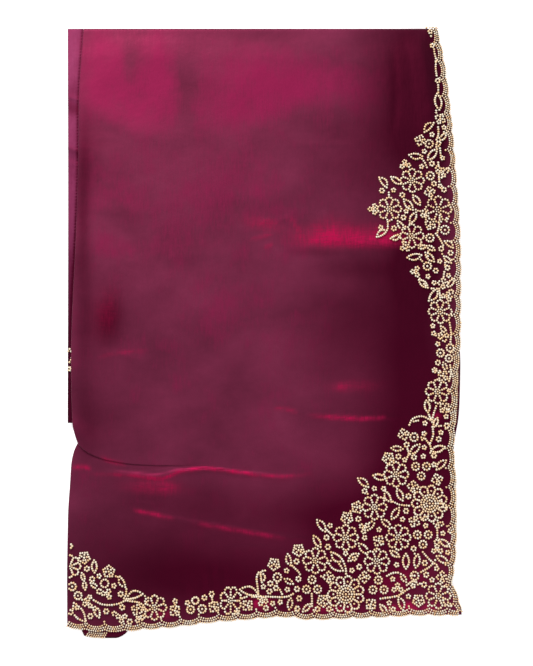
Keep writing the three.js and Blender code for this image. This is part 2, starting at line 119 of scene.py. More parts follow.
# Cloth edges along the border and across the end
RIGHT_HEM = table(
    "y x", (-391, 267), (-372, 264), (-348, 256), (-325, 261), (-280, 263), (-180, 263.5),
    (-100, 271), (0, 275), (128, 277.5), (255, 272), (340, 266), (400, 259.5), (460, 248.5))
END_HEM = table(
    "x y", (-279, -409), (-240, -413.5), (-200, -413.5), (-163, -411), (-126, -408),
    (-78, -402), (-27, -398), (10, -395), (36, -395), (64, -398), (157, -395), (205, -392.5),
    (267, -392.5))
HEM_CORNER = ((269.0, -389.5), (266.0, -392.4))

# The crosswise tuck: its edge, how far the cloth runs on under it, and how high it stands
TUCK = table(
    "x y lap lift", (-290, -150, 8, 3.8), (-268, -159, 8, 3.8), (-261, -166, 8, 3.7),
    (-253, -171.5, 8, 3.4), (-238, -178, 8, 2.6), (-222, -182.5, 7, 2.2), (-187, -188, 5, 2.0),
    (-150, -190, 3, 1.6), (-94, -191, 0.5, 1.0), (-30, -194, 0, 0.5), (90, -190, 0, 0),
    (161, -174, 0, 0), (280, -147, 0, 0))
TUCK_REACH = 6.0  # rows of the tuck begin this far below its edge, and end this far above
TUCK_FLAT = 12.0  # how far above its edge it stays at its full height
TUCK_RISE = 46.0  # how far above its edge it has sunk to nothing

# The soft roll beside the upper border
ROLL = table("inside high", (0, 0), (7, 0), (15, 1.2), (24, 2.4), (35, 1.4), (SHOULDER, 0))
ROLL_LENGTH = table("y share", (210, 0), (300, 1), (405, 1), (450, 0.1), (460, 0))

# Where the front's edge lies in from the line of its border, so that more of the other half shows
FRONT_SET_IN = table(
    "y inside", (-200, 0), (-150, 2.6), (-120, 4.2), (-80, 4.2), (-45, 2.8), (-12, 0))

# The folded-back half: how far it shows past the front's edges, and where its beads lie hidden
BACK_PAST_RIGHT = table(
    "y past", (-325, -2), (-290, 2.5), (-160, 3.0), (-120, 5.6), (-45, 5.4), (-20, 3.6), (5, -2))
BACK_BEADS_IN = table("y inside", (-200, 0), (-150, 6.5), (-25, 6.5))
BACK_PAST_END = table(
    "x past", (-262, -2), (-254, 13.5), (-222, 15), (-211, 15), (-200, 11), (-188, -2))
BACK_BEADS_UP = 3.4  # how far in its beads lie at the end
BACK_EDGE_RIGHT = (-25.0, -305.0)
BACK_EDGE_END = (-224.0, -252.0)


def smoothstep(value, start, end):
    """A share that grows softly from 0 to 1 between two values."""
    share = np.clip((value - start) / (end - start), 0, 1)
    return share * share * (3 - 2 * share)


def lerp(a, b, share):
    return a + (b - a) * share


def follow(rows, key, column, at):
    """The smooth line through a table's rows, which never passes beyond them."""
    places, values = rows[key], rows[column]
    at = np.clip(at, places[0], places[-1])
    i = np.clip(np.searchsorted(places, at) - 1, 0, len(places) - 2)
    width = np.diff(places)
    secant = np.diff(values) / width
    before = np.append(secant[0], secant)
    after = np.append(secant, secant[-1])
    turning = before * after <= 0
    slope = np.where(turning, 0, 2 * before * after / np.where(turning, 1, before + after))
    t = (at - places[i]) / width[i]
    return lerp(values[i], values[i + 1], t * t * (3 - 2 * t)) + width[i] * t * (1 - t) * (
        slope[i] * (1 - t) - slope[i + 1] * t)


def right_hem(y):
    return follow(RIGHT_HEM, "y", "x", y)


def end_hem(x):
    return follow(END_HEM, "x", "y", x)


def tuck_edge(x):
    return follow(TUCK, "x", "y", x)


def pack_top(x, y):
    """How high the top of the hidden layers is."""
    under_left = follow(UNDER_LEFT, "y", "x", y)
    rounding = 1
    for inside in (x - under_left, right_hem(y) - x, y - end_hem(x), PACK_TOP - y):
        rounding = rounding * smoothstep(inside, 0, SHOULDER)
    return lerp(PACK_RIM, PACK_MIDDLE, rounding)


def on_pack(x, along, high):
    """Points of cloth at a height over the hidden layers, turned down over the far end."""
    past = np.maximum(along - BEND_START, 0)
    lean = np.minimum(past / BEND_SPAN, 1) * math.pi / 2
    drop = np.maximum(past - BEND_SPAN, 0)
    y = along - past
    return np.stack([
        x + 0 * y,
        y + (END_BEND + high) * np.sin(lean),
        pack_top(x, y) - END_BEND + (END_BEND + high) * np.cos(lean) - drop,
    ], axis=-1)


# The photograph's camera, as it stands over the cloth
PHOTO_CENTRE = (266.5, 333.0)
FOCAL = 925.0  # pixels
DISTANCE = 1332.0
TILT = math.radians(5.5)


def cloth(px, py):
    """The place on the cloth, in millimetres, that a pixel of the photograph shows."""
    u = (np.asarray(px, float) - PHOTO_CENTRE[0]) / FOCAL
    v = (PHOTO_CENTRE[1] - np.asarray(py, float)) / FOCAL
    y = v * DISTANCE / (math.cos(TILT) - v * math.sin(TILT))
    return np.stack([u * (DISTANCE + y * math.sin(TILT)), y], axis=-1)


CURVE_STEPS = 24  # between two points, while the curve's length is measured


def curve_through(points, spacing):
    """Evenly spaced points on a smooth line through a few, and its directions there."""
    points = np.asarray(points, float)
    ends = np.vstack([2 * points[0] - points[1], points, 2 * points[-1] - points[-2]])
    t = np.linspace(0, 1, CURVE_STEPS, endpoint=False)[:, None]
    parts = []
    for a, b, c, d in zip(ends, ends[1:], ends[2:], ends[3:]):
        parts.append(0.5 * (2 * b + (c - a) * t + (2 * a - 5 * b + 4 * c - d) * t ** 2
                            + (3 * b - a - 3 * c + d) * t ** 3))
    fine = np.vstack([*parts, points[-1:]])
    run = np.append(0, np.cumsum(np.linalg.norm(np.diff(fine, axis=0), axis=1)))
    count = max(int(round(run[-1] / spacing)), 1)
    at = np.linspace(0, run[-1], count + 1)
    line = np.stack([np.interp(at, run, fine[:, k]) for k in (0, 1)], axis=1)
    way = np.gradient(line, axis=0)
    return line, way / np.linalg.norm(way, axis=1)[:, None]


# Creases of the front panel. Each has its height, how far its flank reaches above the crest and
# below it, and its crest in pixels of the photograph. A trough has a height below zero.
CREASES = (
    (2.3, 3.0, 5.0, ((80, 471), (95, 474), (110, 472), (140, 475), (158, 476), (180, 471),
                     (214, 469), (242, 473), (260, 474), (281, 477), (322, 472))),
    (-0.6, 2.5, 2.5, ((104, 468), (140, 470), (175, 466), (215, 464))),
    (1.4, 3.0, 7.0, ((130, 509), (172, 518), (195, 522), (235, 528), (280, 536), (334, 541))),
    (0.9, 2.0, 3.0, ((272, 408), (300, 413), (345, 417), (392, 417), (415, 414))),
    (0.6, 3.0, 5.0, ((90, 350), (120, 354), (152, 363))),
    (0.5, 4.0, 4.0, ((284, 146), (325, 144), (366, 147))),
    (1.3, 14.0, 3.5, ((302, 246), (335, 242), (370, 245), (402, 248))),
    (0.7, 3.0, 3.0, ((258, 224), (268, 221), (277, 224))),
    (0.7, 2.5, 2.5, ((248, 242), (260, 237), (275, 234))),
    (0.6, 2.5, 2.5, ((262, 247), (274, 244))),
    (0.9, 3.0, 3.0, ((274, 231), (279, 222), (288, 218), (297, 229), (300, 238))),
    (-0.8, 3.0, 3.0, ((273, 241), (281, 247), (288, 257))),
    (-0.7, 3.0, 3.0, ((269, 250), (274, 261), (277, 272))),
    (0.7, 2.5, 3.5, ((334, 389), (342, 386), (350, 385))),
    (0.7, 3.0, 3.0, ((211, 560), (214, 577), (213, 594))),
    (0.6, 3.0, 3.0, ((222, 562), (224, 578), (223, 592))),
    (0.5, 3.0, 3.0, ((199, 568), (203, 583), (202, 596))),
    (0.4, 3.0, 3.0, ((181, 578), (186, 590), (185, 602))),
    (0.7, 26.0, 12.0, ((70, 96), (105, 116), (140, 133), (180, 139), (226, 133))),
    (0.8, 16.0, 8.0, ((150, 262), (200, 254), (246, 258))),
    (0.6, 14.0, 9.0, ((84, 205), (130, 214), (170, 206))),
    (0.6, 3.0, 3.5, ((124, 490), (150, 484), (176, 488))),
    (0.5, 2.5, 3.0, ((130, 500), (150, 504), (170, 501))),
    (0.6, 5.0, 5.0, ((300, 560), (262, 548), (215, 552))),
    (-0.8, 6.0, 5.0, ((390, 40), (396, 90), (392, 140))),
    (0.6, 9.0, 9.0, ((330, 60), (336, 110), (330, 150))),
    (0.6, 8.0, 9.0, ((232, 320), (300, 326), (352, 318))),
    (0.5, 7.0, 6.0, ((110, 400), (170, 408), (226, 402))),
)

# Wide shallow swells of the whole front: wave length, direction in degrees, phase and height
SWELLS = (
    (173, 78, 0.4, 0.34), (121, 22, 2.1, 0.22), (97, 118, 4.0, 0.16), (61, 64, 1.3, 0.08),
    (47, 151, 5.2, 0.06), (233, -12, 3.1, 0.3),
)
FLAT_RIM = 25.0  # creases and swells sink away within this of the cloth's edges
CREASE_STEP = 5.0
CREASE_REACH = 3.0  # flanks beyond which a crease is nothing
CREASE_FADE = 0.3  # share of its length over which it rises at each end


def along_lines(lines, x, y):
    """What a table of lines gives at places on the cloth, each strongest on its line."""
    height = np.zeros(np.shape(x))
    for high, above, below, pixels in lines:
        line, way = curve_through(cloth(*np.array(pixels, float).T), CREASE_STEP)
        reach = CREASE_REACH * max(above, below)
        near = ((x > line[:, 0].min() - reach) & (x < line[:, 0].max() + reach)
                & (y > line[:, 1].min() - reach) & (y < line[:, 1].max() + reach))
        spots = np.stack([x[near], y[near]], axis=-1)
        best = np.full(len(spots), np.inf)
        side = np.zeros(len(spots))
        share = np.zeros(len(spots))
        for k, (point, ahead) in enumerate(zip(line, way)):
            off = spots - point
            distance = np.hypot(*off.T)
            closer = distance < best
            best = np.where(closer, distance, best)
            side = np.where(closer, ahead[0] * off[:, 1] - ahead[1] * off[:, 0], side)
            share = np.where(closer, k / (len(line) - 1), share)
        half = np.where(side > 0, above, below)
        fade = smoothstep(share, 0, CREASE_FADE) * smoothstep(1 - share, 0, CREASE_FADE)
        height[near] += high * fade * np.exp(-(best / half) ** 2)
    return height


def swell_height(x, y):
    height = 0
    for length, degrees, phase, high in SWELLS:
        turn = math.radians(degrees)
        height = height + high * np.sin(
            2 * math.pi * (x * math.cos(turn) + y * math.sin(turn)) / length + phase)
    return height


def front_lift(x, y, upper):
    """How far the front is raised. upper is 0 below the tuck and 1 above it."""
    above = y - tuck_edge(x)
    tuck = follow(TUCK, "x", "lift", x) * (1 - smoothstep(above, TUCK_FLAT, TUCK_RISE))
    roll = follow(ROLL, "inside", "high", right_hem(y) - x) * follow(ROLL_LENGTH, "y", "share", y)
    edges = np.minimum(np.minimum(right_hem(y) - x, y - end_hem(x)), PACK_TOP - y)
    soft = along_lines(CREASES, x, y) + swell_height(x, y)
    return tuck * upper + roll + soft * smoothstep(edges, 0, FLAT_RIM)


# Meshes
def grid_faces(rows, columns):
    corner = np.arange(rows * columns).reshape(rows, columns)
    quads = np.stack([corner[:-1, :-1], corner[:-1, 1:], corner[1:, 1:], corner[1:, :-1]], axis=-1)
    return quads.reshape(-1, 4)


def stack_faces(rings, around):
    """Faces of a stack of rings of points, which the middles of its two ends come after."""
    here = np.arange((rings - 1) * around).reshape(-1, around)
    beside = np.roll(here, -1, axis=1)
    sides = np.stack([here, beside, beside + around, here + around], axis=-1).reshape(-1, 4)
    first = np.arange(around)
    last = first + (rings - 1) * around
    middle = 0 * first + rings * around
    under = np.stack([middle, np.roll(first, -1), first], axis=1)
    over = np.stack([middle + 1, last, np.roll(last, -1)], axis=1)
    return sides, np.vstack([under, over])


def mesh_object(name, points, faces, material):
    """An object from points in working millimetres and arrays of faces."""
    mesh = bpy.data.meshes.new(name)
    points = (points + SHIFT) * MM
    mesh.vertices.add(len(points))
    mesh.vertices.foreach_set("co", points.ravel())
    corners = np.concatenate([face.ravel() for face in faces])
    sizes = np.concatenate([np.full(len(face), face.shape[1]) for face in faces])
    mesh.loops.add(len(corners))
    mesh.loops.foreach_set("vertex_index", corners)
    mesh.polygons.add(len(sizes))
    mesh.polygons.foreach_set("loop_start", np.cumsum(sizes) - sizes)
    mesh.polygons.foreach_set("use_smooth", np.ones(len(sizes), bool))
    mesh.update(calc_edges=True)
    mesh.validate()
    mesh.materials.append(material)
    piece = bpy.data.objects.new(name, mesh)
    bpy.context.scene.collection.objects.link(piece)
    return piece


def add_numbers(piece, name, values):
    piece.data.attributes.new(name, "FLOAT", "POINT").data.foreach_set(
        "value", values.astype(np.float32))


def add_marks(piece, shine, crimson_sheen, deep):
    """The painted highlight, painted crimson sheen and painted shade of a shell's grid, for both of
    its sides.
    """
    for name, values in (("shine", shine), ("crimson_sheen", crimson_sheen), ("deep", deep)):
        add_numbers(piece, name, np.tile(values.ravel(), 2))


def shell(name, middle, thickness, material):
    """A thin closed cloth on both sides of a grid of points."""
    rows, columns = middle.shape[:2]
    across = np.gradient(middle, axis=1)
    up = np.gradient(middle, axis=0)
    normal = np.cross(across, up)
    normal /= np.linalg.norm(normal, axis=-1)[..., None]
    top = (middle + normal * thickness / 2).reshape(-1, 3)
    bottom = (middle - normal * thickness / 2).reshape(-1, 3)
    inside = rows * columns
    over = grid_faces(rows, columns)
    corner = np.arange(inside).reshape(rows, columns)
    border = np.concatenate([
        corner[0, :-1], corner[:-1, -1], corner[-1, :0:-1], corner[:0:-1, 0]])
    after = np.roll(border, -1)
    rim = np.stack([after, border, border + inside, after + inside], axis=-1)
    return mesh_object(
        name, np.vstack([top, bottom]), [over, over[:, ::-1] + inside, rim], material)


# The edging's line, its scallops, and the cloth's edge that follows them
BORDER_POINTS = 43
EDGE_STEP = 0.5


def edge_lines():
    """The points of the edging down the right side and round the corner, and across the end."""
    join = (HEM_CORNER[1][0] - CORNER_RUN, END_HEM["y"][-1])
    down = np.linspace(RIGHT_HEM["y"][-1], RIGHT_HEM["y"][1], BORDER_POINTS)
    border = list(zip(right_hem(down) - follow(FRONT_SET_IN, "y", "inside", down), down))
    border += [*HEM_CORNER, join]
    end = [(join[0] - EDGING_GAP, join[1]), *list(zip(END_HEM["x"], END_HEM["y"]))[-2::-1]]
    return border, end


class Edge:
    """A line of edging, from which points are taken by their run and their distance out."""

    def __init__(self, points):
        self.line, self.way = curve_through(points, EDGE_STEP)
        steps = np.linalg.norm(np.diff(self.line, axis=0), axis=1)
        self.run = np.append(0, np.cumsum(steps))
        self.length = self.run[-1]
        self.scallops = max(round(self.length / SCALLOP), 1)

    def arch(self, run):
        """0 at the notches between the scallops, 1 at their crests."""
        share = (run / self.length * self.scallops) % 1
        return (1 - (2 * share - 1) ** 2) ** ARCH_POWER

    def at(self, run, out):
        x, y = (np.interp(run, self.run, self.line[:, k]) for k in (0, 1))
        ahead_x, ahead_y = (np.interp(run, self.run, self.way[:, k]) for k in (0, 1))
        return np.stack([x - ahead_y * out, y + ahead_x * out], axis=-1), np.arctan2(
            ahead_y, ahead_x)

    def cloth_edge(self):
        arch = self.arch(self.run)
        return self.at(self.run, SCALLOP_DEPTH * arch + CLOTH_PAST_MIDDLE)[0]


border_points, end_points = edge_lines()
RIGHT_EDGE = Edge(border_points)
END_EDGE = Edge(end_points)


def scalloped(edge, key, value, start=-math.inf):
    """The cloth's scalloped edge past a start, from one coordinate to the other."""
    line = edge.cloth_edge()
    line = line[line[:, key] > start]
    order = np.argsort(line[:, key])
    return line[order, key], line[order, value]


RIGHT_SCALLOPS = scalloped(RIGHT_EDGE, 1, 0, CORNER_TOP)
END_SCALLOPS = scalloped(END_EDGE, 0, 1)


def front_right(y):
    return np.interp(y, *RIGHT_SCALLOPS)


def front_end(x):
    return np.where(x > CORNER_START, end_hem(x) - CORNER_OUT, np.interp(x, *END_SCALLOPS))


# The front panel, one sheet from the saree's end to the far fold, with the tuck across it
LOWER_ROWS = ((0, 0.05, 6), (0.05, 0.5, 34), (0.5, 1, 62))  # shares of the way, and rows there
UPPER_ROWS = ((0, 0.09, 30), (0.09, 1, 160))
TUCK_ROWS = 40
BEND_ROWS = 9
FRONT_COLUMNS = 130
FOLDED_UNDER = 0.22  # how far the tuck's upper layer runs back under its own edge
TUCK_OUT = (0, 0.36)  # shares of its rows where the cloth runs out, back, and on again
TUCK_BACK = (0.36, 0.66)
TUCK_ON = (0.66, 1)
TUCK_RISES = ((0.28, 0.44), (0.56, 0.74))  # where it rises at its two bends
PASSES = 8  # rounds in which the rows and columns of a grid settle on each other


def spaced(parts):
    return np.concatenate([np.linspace(a, b, count, endpoint=False) for a, b, count in parts])


def folded_columns(share):
    """Columns of a cloth from the lap turned in at its left fold, round the fold and across.

    Gives how far in from the fold's edge they begin, their shares of the way, and their height.
    """
    radius = FOLD_RADIUS - CLOTH / 2
    lap = FOLD_RADIUS + np.array(FOLD_LAP)
    offset = np.concatenate([
        lap, FOLD_RADIUS + radius * np.cos(FOLD_TURN), FOLD_RADIUS + 0 * share])
    high = np.concatenate([
        0 * lap + CLOTH / 2, FOLD_RADIUS + radius * np.sin(FOLD_TURN),
        2 * FOLD_RADIUS - CLOTH / 2 + 0 * share])
    share = np.append(np.zeros(len(offset) - len(share)), share)
    return offset[None, :], share[None, :], high[None, :]


def tuck_rows():
    """Rows across the tuck: how far up the cloth, the share of its lap, and of its height."""
    t = np.linspace(0, 1, TUCK_ROWS, endpoint=False)
    base = lerp(-TUCK_REACH, TUCK_REACH, t)
    out = smoothstep(t, *TUCK_OUT) * (1 - smoothstep(t, *TUCK_BACK) * (1 + FOLDED_UNDER))
    lap = out + FOLDED_UNDER * smoothstep(t, *TUCK_ON)
    rise = sum(smoothstep(t, *share) for share in TUCK_RISES) / len(TUCK_RISES)
    return base, lap, rise


def front_grid():
    """Places on the cloth, how far up it they lie, and how much of each row is above the tuck."""
    low = spaced(LOWER_ROWS)
    high = spaced(UPPER_ROWS)
    bend = np.append(np.linspace(0, BEND_SPAN, BEND_ROWS), BEND_SPAN + END_DROP)
    base, lap, rise = tuck_rows()
    none_low, none_high, none_bend = 0 * low, 0 * high, 0 * bend
    from_end = np.concatenate([1 - low, 0 * base, none_high, none_bend])[:, None]
    from_tuck = np.concatenate([low, 1 + 0 * base, 1 - high, none_bend])[:, None]
    fixed = np.concatenate([
        -TUCK_REACH * low, base, lerp(TUCK_REACH, BEND_START, high), BEND_START + bend])[:, None]
    lapping = np.concatenate([none_low, lap, none_high, none_bend])[:, None]
    upper = np.concatenate([none_low, rise, 1 + none_high, 1 + none_bend])[:, None]
    offset, share, column_high = folded_columns(np.linspace(0, 1, FRONT_COLUMNS + 1)[1:])
    x = np.zeros((len(upper), share.shape[1]))
    for _ in range(PASSES):
        along = (from_end * front_end(x) + from_tuck * tuck_edge(x) + fixed
                 + lapping * follow(TUCK, "x", "lap", x))
        left = lerp(follow(LOWER_LEFT, "y", "x", along), follow(UPPER_LEFT, "y", "x", along), upper)
        x = left + offset + share * (front_right(along) - left - FOLD_RADIUS)
    return x, along, column_high, upper + 0 * x


def front_cloth(material):
    x, along, column_high, upper = front_grid()
    flat = np.minimum(along, BEND_START)
    lift = front_lift(x, flat, upper)
    turned_under = np.clip(column_high / (2 * FOLD_RADIUS), 0, 1)
    keep = np.where(lift < 0, turned_under, 1)
    middle = on_pack(x, along, FRONT_BASE + column_high + lift * keep)
    piece = shell("front_cloth", middle, CLOTH, material)
    # Painted light in the front's colour: crimson sheen from its marks and along crease crests,
    # highlight where it shines, shade where it lies dark
    crimson_sheen = mark_share(CRIMSON_SHEEN_MARKS, x, flat) + along_lines(SHINING_LINES, x, flat)
    add_marks(piece, mark_share(SHINE_MARKS, x, flat), crimson_sheen, mark_share(PAINTED_SHADE_MARKS, x, flat))
    return piece


# Marks painted into the satin's colour: painted highlight where it shines, painted crimson sheen,
# and painted shade where it lies dark. Places and half sizes are in pixels of the photograph.
# below says how much sharper the lower side is than the upper.
MARK_COLUMNS = "x y wide high turn below strength"
MARK_FALL = 1.2  # how fast a mark fades
MARK_FLATNESS = 1.2  # how even it is in its middle
# Painted highlight where the satin shines, with a few darker streaks in it
SHINE_MARKS = table(
    MARK_COLUMNS,
    (98, 62, 28, 40, 0, 1, 0.6), (122, 106, 52, 62, -22, 2.8, 0.8), (162, 66, 20, 50, 0, 1, 0.6),
    (131, 62, 8, 26, 6, 1, -0.5), (186, 88, 9, 64, 0, 1, -0.45), (246, 108, 60, 62, 7, 2.8, 0.85),
    (304, 86, 50, 34, -4, 1.7, 0.75), (364, 90, 36, 25, 0, 1, 0.5), (330, 32, 110, 12, 0, 1, -0.4),
    (120, 190, 44, 40, 10, 1, 0.25), (196, 205, 40, 34, 0, 1, 0.25), (112, 246, 26, 14, -8, 1, 0.4),
    (236, 186, 46, 26, 0, 1, 0.36), (160, 252, 40, 20, 0, 1, 0.18), (276, 214, 34, 12, 0, 1, 0.3),
    (226, 312, 36, 34, -20, 1, 0.3), (280, 252, 40, 10, 0, 1, 0.2), (180, 384, 24, 12, 0, 1, 0.15),
    (130, 350, 28, 10, 12, 1, 0.12), (429, 92, 3, 60, -3, 1, 0.3))
# Painted crimson sheen where the satin catches the light in streaks and flecks
CRIMSON_SHEEN_MARKS = table(
    MARK_COLUMNS,
    (352, 241, 52, 15, 0, 2.2, 0.95), (326, 232, 22, 14, 20, 1, 0.35),
    (384, 238, 22, 10, 0, 1.6, 0.35), (152, 488, 27, 10, -4, 1.6, 0.36), (168, 486, 9, 5, 0, 1, 0.25),
    (262, 224, 20, 7, -12, 1, 0.34), (342, 387, 7, 4, 10, 1, 0.5), (352, 386, 24, 6, 0, 1, 0.2),
    (392, 609, 8, 4, 0, 1, 0.8), (410, 607, 9, 5, 0, 1, 0.9), (430, 608, 8, 5, 0, 1, 0.8),
    (261, 603, 12, 6, 0, 1, 0.7), (160, 614, 12, 5, 0, 1, 0.4), (330, 609, 26, 4, 0, 1, 0.5),
    (400, 580, 26, 12, 20, 1, 0.3), (105, 312, 13, 24, -8, 1, 0.2), (436, 416, 5, 4, 0, 1, 0.5))
# Painted shade where the satin lies dark: by the border, towards the lower end and beside the left
# fold
PAINTED_SHADE_MARKS = table(
    MARK_COLUMNS,
    (424, 90, 40, 130, 0, 1, 1.0), (438, 90, 10, 120, 0, 1, 0.5), (404, 300, 60, 90, 8, 1, 0.8),
    (372, 156, 50, 60, 0, 1, 0.62), (334, 326, 44, 56, 0, 1, 0.45), (384, 60, 36, 80, 0, 1, 0.5),
    (420, 420, 80, 90, 0, 1, 0.85), (400, 520, 110, 70, 40, 1, 0.9), (230, 600, 220, 44, 0, 1, 0.75),
    (320, 510, 50, 40, 0, 1, 0.35), (170, 550, 170, 44, 0, 1, 0.65), (200, 500, 140, 22, -7, 1, 0.42),
    (100, 330, 30, 54, 0, 1, 0.35), (110, 318, 16, 28, -8, 1, 0.6), (350, 268, 44, 12, 0, 1, 0.25),
    (94, 424, 34, 40, 0, 1, 0.32), (90, 150, 14, 40, 0, 1, 0.3), (84, 300, 10, 90, 0, 1, 0.4),
    (83, 190, 8, 80, 0, 1, 0.6), (318, 252, 30, 5, 0, 1, 0.3), (86, 420, 16, 40, 0, 1, 0.3),
    (420, 250, 30, 60, 0, 1, 0.6))
# Painted highlight where the strip shines along its creases
STRIP_SHINE_MARKS = table(
    MARK_COLUMNS,
    (72, 52, 12, 44, 0, 1, 0.6), (70, 132, 9, 20, 0, 1, 0.45), (71, 192, 10, 36, 0, 1, 0.4),
    (70, 250, 6, 40, 0, 1, 0.15))
# Painted shade in the strip's creases and towards its lower end
STRIP_PAINTED_SHADE_MARKS = table(
    MARK_COLUMNS,
    (72, 108, 20, 6, -20, 1, 0.5), (72, 150, 20, 5, -20, 1, 0.4), (74, 346, 16, 104, 0, 1, 0.9),
    (72, 400, 16, 40, 0, 1, 1.0))
STRIP_SHADOW = ((1.3, 2.2, 2.2, ((90, -90), (82, 27), (77.6, 100), (77, 160), (74.4, 240),
                                 (72, 290), (69.6, 346), (68, 430))),)

# Painted highlights along the crests of creases, added to the painted crimson sheen: strength, reach
# above and below, and pixels
SHINING_LINES = (
    (1.0, 2.6, 3.0, ((80, 475), (100, 474), (130, 475), (160, 478), (182, 471), (205, 468),
                     (232, 471), (262, 475), (290, 476), (322, 472))),
    (0.8, 3.5, 3.0, ((71, 468), (82, 467), (93, 469))),
    (0.7, 4.0, 2.6, ((98, 457), (112, 462), (127, 466))),
    (0.9, 2.6, 3.0, ((130, 509), (150, 513), (176, 519))),
    (0.7, 2.6, 3.4, ((188, 521), (220, 527), (250, 532), (290, 539))),
    (0.5, 2.8, 2.8, ((272, 408), (284, 409), (300, 413))),
    (0.9, 2.6, 3.0, ((304, 414), (330, 417), (360, 418.5), (392, 417))),
    (0.5, 2.6, 3.0, ((248, 242), (260, 237), (275, 234))),
    (0.5, 2.6, 3.0, ((256, 226), (268, 221), (279, 224))),
    (0.4, 2.6, 3.0, ((262, 248), (274, 244))),
    (0.4, 3.0, 3.0, ((281, 219), (290, 219), (298, 230), (301, 240))),
    (0.3, 2.6, 3.0, ((94, 358), (118, 353), (150, 350))),
)


def mark_share(marks, x, y):
    """How strong a table of marks is at places on the cloth."""
    total = np.zeros(x.shape)
    pixel = DISTANCE / FOCAL  # in millimetres on the cloth
    for middle_x, middle_y, wide, high, degrees, below, strength in zip(*marks.values()):
        centre = cloth(middle_x, middle_y)
        off_x, off_y = x - centre[0], y - centre[1]
        cos, sin = math.cos(math.radians(degrees)), math.sin(math.radians(degrees))
        across = (off_x * cos + off_y * sin) / (wide * pixel)
        up = (off_y * cos - off_x * sin) / (high * pixel)
        up = up * np.where(up < 0, below, 1)
        total += strength * np.exp(-MARK_FALL * (across ** 2 + up ** 2) ** MARK_FLATNESS)
    return total


# The folded-back half, flat under the front, with a rim that shows
BACK_HIGH = 1.2
BACK_ROWS = 190
BACK_COLUMNS = 90
BACK_CROWDING = 1.3  # its columns lie closer at the left
BACK_RIPPLE = {"high": 0.12, "across": 31.0, "up": 17.0, "slow": 43.0}


def back_right(y):
    return right_hem(y) + follow(BACK_PAST_RIGHT, "y", "past", y)


def back_end(x):
    return end_hem(x) - follow(BACK_PAST_END, "x", "past", x)


def back_cloth(material):
    share = np.linspace(0, 1, BACK_COLUMNS)[None, :] ** BACK_CROWDING
    rise = np.linspace(0, 1, BACK_ROWS)[:, None]
    x = np.zeros((BACK_ROWS, BACK_COLUMNS))
    for _ in range(PASSES):
        y = lerp(back_end(x), BEND_START, rise)
        left = follow(BACK_LEFT, "y", "x", y)
        x = left + share * (back_right(y) - left)
    ripple = BACK_RIPPLE["high"] * np.sin(
        x / BACK_RIPPLE["across"] + y / BACK_RIPPLE["up"]) * np.sin(y / BACK_RIPPLE["slow"])
    return shell("back_cloth", on_pack(x, y, BACK_HIGH + ripple), CLOTH, material)


# The turn of cloth that shows as a strip along the left, with creases across it
STRIP_ROWS = 260
STRIP_COLUMNS = 30
STRIP_STEP = (0.4, 0.42)  # where its top edge steps down to pass under the front
STRIP_SLANT = 0.35  # how far each of its creases falls for its way across
STRIP_CREASES = table(
    "y high above below", (352, 0.42, 5, 2), (276, 0.48, 3, 4), (262, -0.36, 5, 5),
    (60, 0.24, 5, 6), (-62, 0.3, 3, 4))


def left_cloth(material):
    share = np.sort(np.append(np.linspace(0, 1, STRIP_COLUMNS)[1:], STRIP_STEP))
    offset, share, high = folded_columns(share)
    rise = np.linspace(0, 1, STRIP_ROWS)[:, None]
    x = np.zeros((STRIP_ROWS, share.shape[1])) + UNDER_RIGHT
    for _ in range(PASSES):
        y = lerp(UNDER_END, follow(UNDER_TOP, "x", "y", x), rise)
        left = follow(UNDER_LEFT, "y", "x", y)
        x = left + offset + share * (UNDER_RIGHT - left - FOLD_RADIUS)
    lift = 0
    for crest, raised, above, below in zip(*STRIP_CREASES.values()):
        off = y - crest + STRIP_SLANT * (x - STRIP_LOW_CORNER[0])
        lift = lift + raised * np.exp(-(off / np.where(off > 0, above, below)) ** 2)
    on_top = high > FOLD_RADIUS
    middle = np.stack([x, y, pack_top(x, y) - 2 * FOLD_RADIUS + high + lift * on_top], axis=-1)
    piece = shell("left_cloth", middle, CLOTH, material)
    # Painted shade of the strip's marks and the painted shadow of the front's fold along it
    deep = mark_share(STRIP_PAINTED_SHADE_MARKS, x, y) + along_lines(STRIP_SHADOW, x, y)
    add_marks(piece, mark_share(STRIP_SHINE_MARKS, x, y), 0 * x, deep)
    return piece


# The hidden layers: one rounded body whose edge shows the folds of each layer
STRIP_BED = {"full": 8.0, "gone": 33.0, "below": 56.0, "level": 21.0}  # sunk for the strip
LAYERS = 11
LAYER_DEPTHS = (0.1, 1.5)  # how far in the folds of a layer lie, at least and at most
LAYER_WANDER = ((5, 0.45), (13, 0.3), (37, 0.15))  # waves round the pack, and how deep
LAYER_WAVES = (9, 0.12)  # up and down
LEAST_SET_IN = 0.05
UNDERSIDE_SET_IN = 3.0
DIAGONAL = 0.7
LAYER_STEPS = np.array([0.0, 0.14, 0.32, 0.5, 0.68, 0.86])  # up one fold's nose
NOSE = 1.3  # how deep the grooves between the folds are
LAYER_SIDE_POINTS = 150
LAYER_END_POINTS = 96
PACK_LIP = 1.2
LID = table(
    "inset below", (1.6, 0.75), (3, 0.35), (6, 0.12), (14, 0), (28, 0), (48, 0), (62, 0),
    (86, 0), (130, 0), (200, 0), (262, 0))


